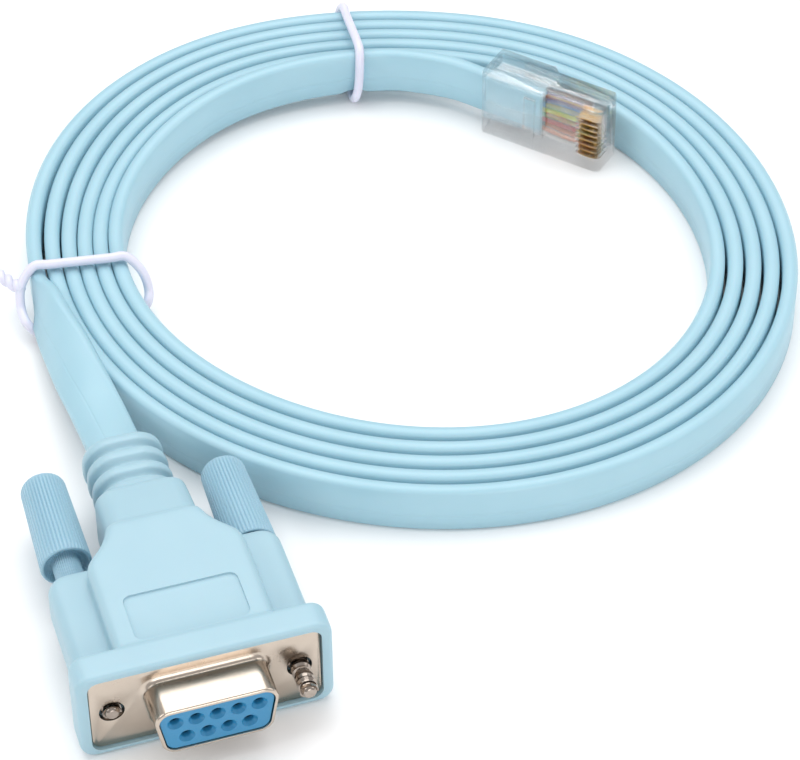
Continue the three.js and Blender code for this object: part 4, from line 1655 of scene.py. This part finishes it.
@dataclass
class Plug:
    """The clear plug on its narrow side, with its wires, blades and latch."""

    corner: tuple[float, float] = (72.894, 85.504)
    turn: float = math.radians(-47.984)
    width: float = 11.68
    length: float = 20.8
    nose: float = 5.9
    rear: float = 6.9
    shoulder: float = 9.5
    jacket_axis: float = 3.0
    jacket_places: tuple[float, ...] = (-6.93, 0.0, 4.95, 9.9)
    wire_pitch: float = 1.02
    wire_radius: float = 0.42
    rear_wire_pitch: float = 0.9
    latch_hinge: tuple[float, float] = (19.1, 5.85)
    latch_rise: float = math.radians(-6.5)

    @property
    def axis(self) -> float:
        """Return the height of the plug's middle."""
        return self.width / 2

    def place(self) -> Matrix:
        """Return where the plug's own frame lies."""
        return Matrix.Translation((*self.corner, 0)) @ Matrix.Rotation(self.turn, 4, "Z")

    def point(self, x: float, y: float, z: float) -> np.ndarray:
        """Return a point of the plug's own frame in the part's frame."""
        return np.array(self.place() @ Vector((x, y, z)))

    @property
    def first_wire(self) -> float:
        """Return the height of the lowest wire and blade."""
        return self.axis - 3.5 * self.wire_pitch

    def block(
        self, x: tuple[float, float], y: tuple[float, float], half: float, middle: float | None = None
    ) -> bpy.types.Object:
        """Make a box in the plug's own frame.

        Args:
            x: where it starts and ends along the plug.
            y: where it starts and ends through the plug.
            half: half its width.
            middle: the height of its middle, the plug's own if it isn't given.

        Returns:
            The box.
        """
        centre = self.axis if middle is None else middle
        low, high = centre - half, centre + half
        outline = np.array([(x[0], low), (x[0], high), (x[1], high), (x[1], low)])[::-1]
        return loft("block", [(y[0], outline), (y[1], outline)])

    def side_solid(
        self, outline: Sequence[tuple[float, float]], low: float, high: float
    ) -> bpy.types.Object:
        """Extrude an outline across the plug.

        Args:
            outline: its points along and through the plug.
            low: the height at which it starts.
            high: the height at which it ends.

        Returns:
            The solid.
        """
        count = len(outline)
        vertices = [(x, y, low) for x, y in outline] + [(x, y, high) for x, y in outline]
        faces = [tuple(reversed(range(count))), tuple(range(count, 2 * count))]
        faces += [(i, (i + 1) % count, count + (i + 1) % count, count + i) for i in range(count)]
        return mesh_object("side", vertices, faces)

    def build_body(self) -> bpy.types.Object:
        """Make the clear body with the pocket, the wire channels and the blade slots.

        Returns:
            The body.
        """
        outline = (
            (0.4, 0),
            (self.length - 0.5, 0),
            (self.length, 0.5),
            (self.length, self.nose - 0.5),
            (self.length - 0.5, self.nose),
            (self.shoulder + 1, self.nose),
            (self.shoulder, self.rear),
            (0, self.rear),
            (0, 0.4),
        )
        body = self.side_solid(outline, 0, self.width)
        combine(body, self.block((-1, 10.4), (1.7, 4.3), 3.95))
        combine(body, self.block((9.4, 18.2), (2.5, 3.5), 4.05))
        combine(body, self.block((7.4, 9.3), (-1, 0.8), 3.6))
        combine(body, self.block((-1, 19.5), (5.05, 8), 3.2))
        slot = self.block((16.6, 22), (-1, 2.65), 0.28, 0.0)
        LINE.apply(slot, CLEAR, Count=8, First=self.first_wire, Pitch=self.wire_pitch)
        combine(body, slot)
        body.name = "clear_plug_body"
        modify(body, "BEVEL", width=0.16, segments=3, limit_method="ANGLE", angle_limit=math.radians(40))
        return finish_piece(body, CLEAR, Body.CABLE, "plug_body", place=self.place(), crease=30)

    def build_latch(self) -> bpy.types.Object:
        """Make the latch, which leaves the nose and rises towards the rear.

        Returns:
            The latch.
        """
        hinge_x, hinge_y = self.latch_hinge
        side = [(3.6, 1.65), (9.6, 1.65), (10.4, 2.9), (hinge_x, 2.9)]
        outline = np.array(side + [(x, -z) for x, z in reversed(side)]) - (hinge_x, 0)
        latch = loft("clear_latch", [(-0.45, outline), (0.45, outline)])
        latch.data.flip_normals()
        modify(latch, "BEVEL", width=0.15, segments=3, limit_method="ANGLE", angle_limit=math.radians(40))
        hinge = Matrix.Translation((hinge_x, hinge_y, self.axis)) @ Matrix.Rotation(self.latch_rise, 4, "Z")
        return finish_piece(latch, CLEAR, Body.LATCH, "plug_latch", place=self.place() @ hinge, crease=30)

    def build_wires(self) -> list[bpy.types.Object]:
        """Make the eight insulated wires from the jacket to the blades, each in its colour.

        Returns:
            The wires.
        """
        wires = []
        for number, (name, colour) in enumerate(zip(WIRE_NAMES, WIRE_COLOURS), 1):
            z = self.axis + (number - 4.5) * self.wire_pitch
            near = self.axis + (number - 4.5) * self.rear_wire_pitch
            y = self.jacket_axis
            path = smooth_curve([(10.1, y, near), (11.5, y, (near + z) / 2), (13, y, z), (17.9, y, z)], 0.5)
            finish = MouldedPVC(
                f"extruded_wire_insulation_{name}", colour, colour, f"wire_{name}", 0.35, 2.0, 0.3
            )
            wire = WIRE.apply(path_object(f"wire_{name}", path), finish, Radius=self.wire_radius, Sides=14)
            wires.append(finish_piece(wire, finish, Body.CABLE, f"plug_wire_{number}", place=self.place()))
        return wires

    def build_blades(self) -> bpy.types.Object:
        """Make the eight blades with their rounded tops, in one row.

        Returns:
            The row of blades.
        """
        arc = [(16.9 + 3.2 * k / 8, 0.35 + 0.25 * (abs(k - 4) / 4) ** 3) for k in range(9)]
        blade = self.side_solid([*arc, (20.1, 2.2), (16.9, 2.2)], -0.15, 0.15)
        blade.name = "blades"
        LINE.apply(blade, CONTACT_GOLD, Count=8, First=self.first_wire, Pitch=self.wire_pitch)
        nodes = [f"plug_contact_{number}" for number in range(1, 9)]
        return finish_piece(blade, CONTACT_GOLD, Body.CABLE, *nodes, place=self.place())

    def build(self) -> list[bpy.types.Object]:
        """Make every piece of the plug.

        Returns:
            The pieces on the cable's body.
        """
        pieces = [self.build_body(), self.build_blades(), *self.build_wires()]
        self.build_latch()
        return pieces


def main() -> None:
    """Build the studio, the cable and then each end."""
    logging.basicConfig(level=logging.INFO, format="%(name)s: %(message)s")
    Studio().build()
    plug = Plug()
    cable = FlatCable()
    flat, points = cable.build(plug)
    on_cable = plug.build()
    on_cable += [tie.build(cable) for tie in TIES]
    Connector().build()
    beside = SCREW_SPACING / 2
    Thumbscrew("left", -beside, 4.4, LEFT_LEAN, Body.LEFT_KNOB, Body.LEFT_SCREW).build()
    Thumbscrew("right", beside, 0.0, 0.0, Body.RIGHT_KNOB, Body.RIGHT_SCREW).build()


if __name__ == "__main__":
    main()
